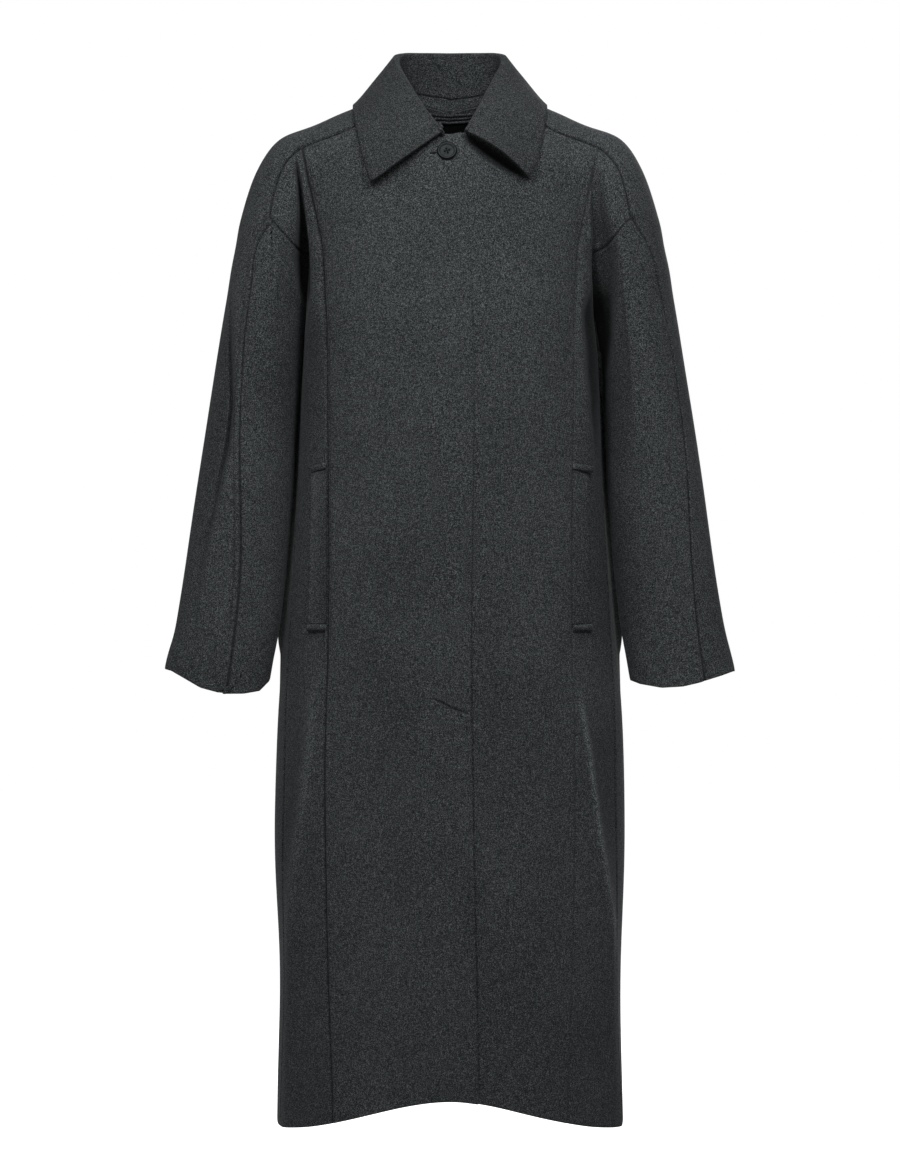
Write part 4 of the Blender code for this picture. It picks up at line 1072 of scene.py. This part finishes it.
def roundedBlock(node, name, round, out, turn=0.0, long=1.0):
    bm = openMesh(nodes[node].data)
    bmesh.ops.remove_doubles(bm, verts=bm.verts, dist=1e-5)
    bmesh.ops.dissolve_limit(bm, angle_limit=math.radians(4), verts=bm.verts, edges=bm.edges)
    sharp = [e for e in bm.edges if e.is_manifold and e.calc_face_angle() > math.radians(40)]
    front = max(bm.faces, key=lambda f: -f.normal.y * f.calc_area()).normal.copy()
    middle = sum((v.co for v in bm.verts), Vector()) / len(bm.verts)
    bmesh.ops.scale(bm, verts=bm.verts, vec=(long, 1.0, 1.0), space=Matrix.Translation(-middle))
    bmesh.ops.rotate(bm, verts=bm.verts, cent=middle, matrix=Matrix.Rotation(math.radians(turn), 3, front))
    bmesh.ops.translate(bm, verts=bm.verts, vec=front * out)
    # it lies on the cloth with its waves and folds
    co = np.array([v.co for v in bm.verts])
    no = np.tile(np.array(front), (len(co), 1))
    moved = co + no * clothWaves(co)[:, None]
    moved[:, 1] += foldPush(co, no)
    moved[:, 0] += underarmPush(node, co)
    for v, spot in zip(bm.verts, moved):
        v.co = spot
    bmesh.ops.bevel(bm, geom=sharp, offset=round, offset_type="OFFSET", affect="EDGES", segments=3, profile=0.5,
                    material=-1, clamp_overlap=True)
    return linkMesh(bm, name)


def makePockets():
    for side in ("right", "left"):
        welt = "pocket_welt_" + side
        shape = pocketSet["welt"][side]
        block = roundedBlock(welt, camelName(welt), shape["round"], shape["out"])
        dressPiece(blockShade(block, 0, pocketSet["weltShade"][side]), wool, "wool", welt)
        for end in ("top", "bottom"):
            bar = "pocket_tab_%s_%s" % (end, side)
            shape = pocketSet["bar"]
            turn, long = (pocketSet[key][end + "_" + side] for key in ("turn", "long"))
            block = roundedBlock(bar, camelName(bar), shape["round"], shape["out"], turn, long)
            dressPiece(blockShade(block, 2, pocketSet["barShade"]), wool, "wool", bar)
    print("pockets made")


makePockets()


# button, turned, with four holes, and the thread that holds it; all in mm
buttonSet = {
    "profile": [(0.0, 1.75), (5.0, 1.75), (7.4, 1.65), (8.4, 1.45), (8.9, 1.6), (9.4, 2.6), (10.1, 3.35), (10.8, 3.6),
                (11.4, 3.4), (11.85, 2.9), (12.0, 2.25), (11.8, 1.4), (11.1, 0.5), (10.2, 0.0), (0.0, 0.0)],
    "steps": 64, "turn": 18.0, "hole": {"off": 2.9, "wide": 1.4, "deep": 8.0, "up": 2.0},
    "strand": {"thick": 0.24, "long": 4.6, "apart": 0.25, "up": 1.8, "over": 0.3},
    "knot": {"thick": 1.34, "deep": 1.2, "up": 0.7},
    "horn": [(0.3, (0.020, 0.024, 0.0255)), (0.75, (0.052, 0.059, 0.062))],
    # painted shade and highlight on the horn by its distance from the middle: a dark groove, a pale rim highlight,
    # and a dark ring for the shadow at its edge
    "rings": [(0.0, 0.0), (7.6, 0.0), (8.4, 0.7), (8.9, 0.6), (9.4, -0.4), (10.1, -0.4), (10.8, 0.85), (11.4, 0.97),
              (12.0, 0.97)],
}


def buttonPlace():
    co = meshPoints(nodes["button"].data)
    middle = (co.min(axis=0) + co.max(axis=0)) / 2
    spread = np.linalg.svd(co - middle, full_matrices=False)[2]
    axis = spread[2] * (-1.0 if spread[2][1] > 0 else 1.0)
    back = ((co - middle) @ axis).min()
    turn = Vector(axis).to_track_quat("Z", "Y").to_matrix().to_4x4()
    return Matrix.Translation(Vector(middle + axis * back)) @ turn


def rod(bm, radius, depth, segments, place):
    bmesh.ops.create_cone(bm, cap_ends=True, segments=segments, radius1=radius, radius2=radius, depth=depth,
                          matrix=place)


def holePlaces(place, up):
    for k in range(4):
        angle = math.radians(buttonSet["turn"] + 90 * k)
        x, y = (buttonSet["hole"]["off"] * f(angle) * mm for f in (math.cos, math.sin))
        yield place @ Matrix.Translation((x, y, up * mm))


def makeButton():
    place = buttonPlace()
    bm = bmesh.new()
    line = [bm.verts.new((r * mm, 0.0, h * mm)) for r, h in buttonSet["profile"]]
    edges = [bm.edges.new(pair) for pair in zip(line[:-1], line[1:])]
    bmesh.ops.spin(bm, geom=line + edges, cent=(0, 0, 0), axis=(0, 0, 1), angle=2 * math.pi, steps=buttonSet["steps"],
                   use_merge=True)
    bmesh.ops.remove_doubles(bm, verts=bm.verts, dist=1e-6)
    bmesh.ops.recalc_face_normals(bm, faces=bm.faces)
    bmesh.ops.transform(bm, matrix=place, verts=bm.verts)
    ob = linkMesh(bm, "neckButton")
    hole = buttonSet["hole"]
    drill = bmesh.new()
    for spot in holePlaces(place, hole["up"]):
        rod(drill, hole["wide"] * mm, hole["deep"] * mm, 20, spot)
    cutter = linkMesh(drill, "buttonDrill")
    cut = ob.modifiers.new("holes", "BOOLEAN")
    cut.object = cutter
    cut.operation = "DIFFERENCE"
    cut.solver = "EXACT"
    applyModifiers(ob)
    bpy.data.objects.remove(cutter)
    flat = (np.array(place.inverted()) @ np.c_[meshPoints(ob.data), np.ones(len(ob.data.vertices))].T).T
    rings = np.array(buttonSet["rings"])
    # painted shade and highlight rings on the button
    setShade(ob.data, np.interp(np.hypot(flat[:, 0], flat[:, 1]) / mm, rings[:, 0], rings[:, 1]), "ringShade")
    horn = speckled("satinHorn", (260.0, 3.0, 0.6), buttonSet["horn"],
                    {"Roughness": 0.55, "Specular IOR Level": 0.07}, (1.0, 1.0, 2.2), "ringShade")
    dressPiece(ob, horn, "button", "button")
    makeButtonThread(place)
    print("button made")


def makeButtonThread(place):
    # strands cross from hole to hole, and knots of dark thread fill the holes: partly the thread, partly a dark fill
    # standing in for the shade down in the holes
    strand, knot = buttonSet["strand"], buttonSet["knot"]
    bm = bmesh.new()
    for k in range(2):
        turn = Matrix.Rotation(math.radians(buttonSet["turn"] + 90 * k), 4, "Z")
        lie = place @ turn @ Matrix.Translation((0.0, 0.0, (strand["up"] + strand["over"] * k) * mm))
        for off in (-strand["apart"], strand["apart"]):
            spot = lie @ Matrix.Translation((0.0, off * mm, 0.0)) @ Matrix.Rotation(math.pi / 2, 4, "Y")
            rod(bm, strand["thick"] * mm, strand["long"] * mm, 8, spot)
    for spot in holePlaces(place, knot["up"]):
        rod(bm, knot["thick"] * mm, knot["deep"] * mm, 12, spot)
    dressPiece(linkMesh(bm, "buttonThread"), makeThread(), "wool")


def makeThread():
    stops = [(0.0, (0.0015, 0.0018, 0.0020)), (1.0, (0.008, 0.009, 0.010))]
    return speckled("sewingThread", (2200.0, 1.0, 0.5), stops, {"Roughness": 0.75, "Specular IOR Level": 0.08})


makeButton()


# sewing that shows on the front: the end of the buttonhole, in mm seen from the front
stitchSet = {"ends": ((-24.0, -39.8), (-15.4, -39.4)), "long": 2.4, "gap": 0.2, "thick": 0.95}


def makeStitches():
    cloth = openMesh(panels["front_right"].data)
    tree = BVHTree.FromBMesh(cloth)
    eye = Vector((0.0, -cameraSet["away"], cameraSet["height"]))
    a, b = (Vector((x * mm, 0.0, z * mm)) for x, z in stitchSet["ends"])
    span = (b - a).length
    count = max(1, round(span / ((stitchSet["long"] + stitchSet["gap"]) * mm)))
    trim = stitchSet["gap"] * mm / span / 2
    bm = bmesh.new()
    for k in range(count):
        spots = [a.lerp(b, t) for t in (k / count + trim, (k + 1) / count - trim)]
        start, end = (tree.ray_cast(eye, (spot - eye).normalized())[0] for spot in spots)
        lie = Matrix.Translation((start + end) / 2) @ (end - start).to_track_quat("Z", "Y").to_matrix().to_4x4()
        rod(bm, stitchSet["thick"] * mm, (end - start).length, 6, lie)
    cloth.free()
    dressPiece(linkMesh(bm, "sewnRows"), makeThread(), "wool")
    print("sewing on the front made")


makeStitches()


# a wide pale floor below the hem, and soft light
floorSet = {
    "drop": -1.46, "wide": 24.0,
    "shader": {"Base Color": (0.9, 0.9, 0.9, 1.0), "Roughness": 0.9, "Emission Color": (1.0, 1.0, 1.0, 1.0),
               "Emission Strength": 1.0},
}


def makeFloor():
    bm = bmesh.new()
    bmesh.ops.create_grid(bm, x_segments=4, y_segments=4, size=floorSet["wide"] / 2)
    bmesh.ops.translate(bm, verts=bm.verts, vec=(0, 0, floorSet["drop"]))
    ob = linkMesh(bm, "paleFloor")
    mat, tree, shader = newMaterial("paleFloor")
    setInputs(shader, floorSet["shader"])
    ob.data.materials.append(mat)
    ob.visible_diffuse = False


lightSet = {
    "room": 0.05, "paper": 1.0,
    # place, aim, size and power of each
    "areas": [
        ("keyLeft", (-0.78, -1.85, 1.40), (0.0, 0.0, -0.35), 0.7, 31.5),
        ("keyRight", (0.78, -1.85, 1.40), (0.0, 0.0, -0.35), 0.7, 31.5),
        ("fillLight", (0.15, -4.2, -0.6), (0.0, 0.0, -0.6), 1.2, 7.6),
        ("topLight", (0.0, -0.2, 2.3), (0.0, 0.0, -0.2), 1.2, 5.0),
        ("backLight", (0.6, 3.0, 1.0), (0.0, 0.0, -0.5), 2.2, 60.0),
    ],
}


def makeLight():
    world = bpy.data.worlds.new("studio")
    scene.world = world
    world.use_nodes = True
    tree = world.node_tree
    room = tree.nodes["Background"]
    paper = addNode(tree, "ShaderNodeBackground")
    for node, strength in ((room, lightSet["room"]), (paper, lightSet["paper"])):
        setInputs(node, {"Color": (1.0, 1.0, 1.0, 1.0), "Strength": strength})
    path = addNode(tree, "ShaderNodeLightPath")
    mix = addNode(tree, "ShaderNodeMixShader")
    tree.links.new(path.outputs["Is Camera Ray"], mix.inputs[0])
    tree.links.new(room.outputs[0], mix.inputs[1])
    tree.links.new(paper.outputs[0], mix.inputs[2])
    tree.links.new(mix.outputs[0], tree.nodes["World Output"].inputs["Surface"])
    for name, place, aim, size, power in lightSet["areas"]:
        data = bpy.data.lights.new(name, "AREA")
        data.shape = "DISK"
        data.size = size
        data.energy = power
        lamp = bpy.data.objects.new(name, data)
        lamp.location = place
        lamp.rotation_euler = (Vector(aim) - Vector(place)).to_track_quat("-Z", "Y").to_euler()
        scene.collection.objects.link(lamp)


makeFloor()
makeLight()
print("floor and light placed")
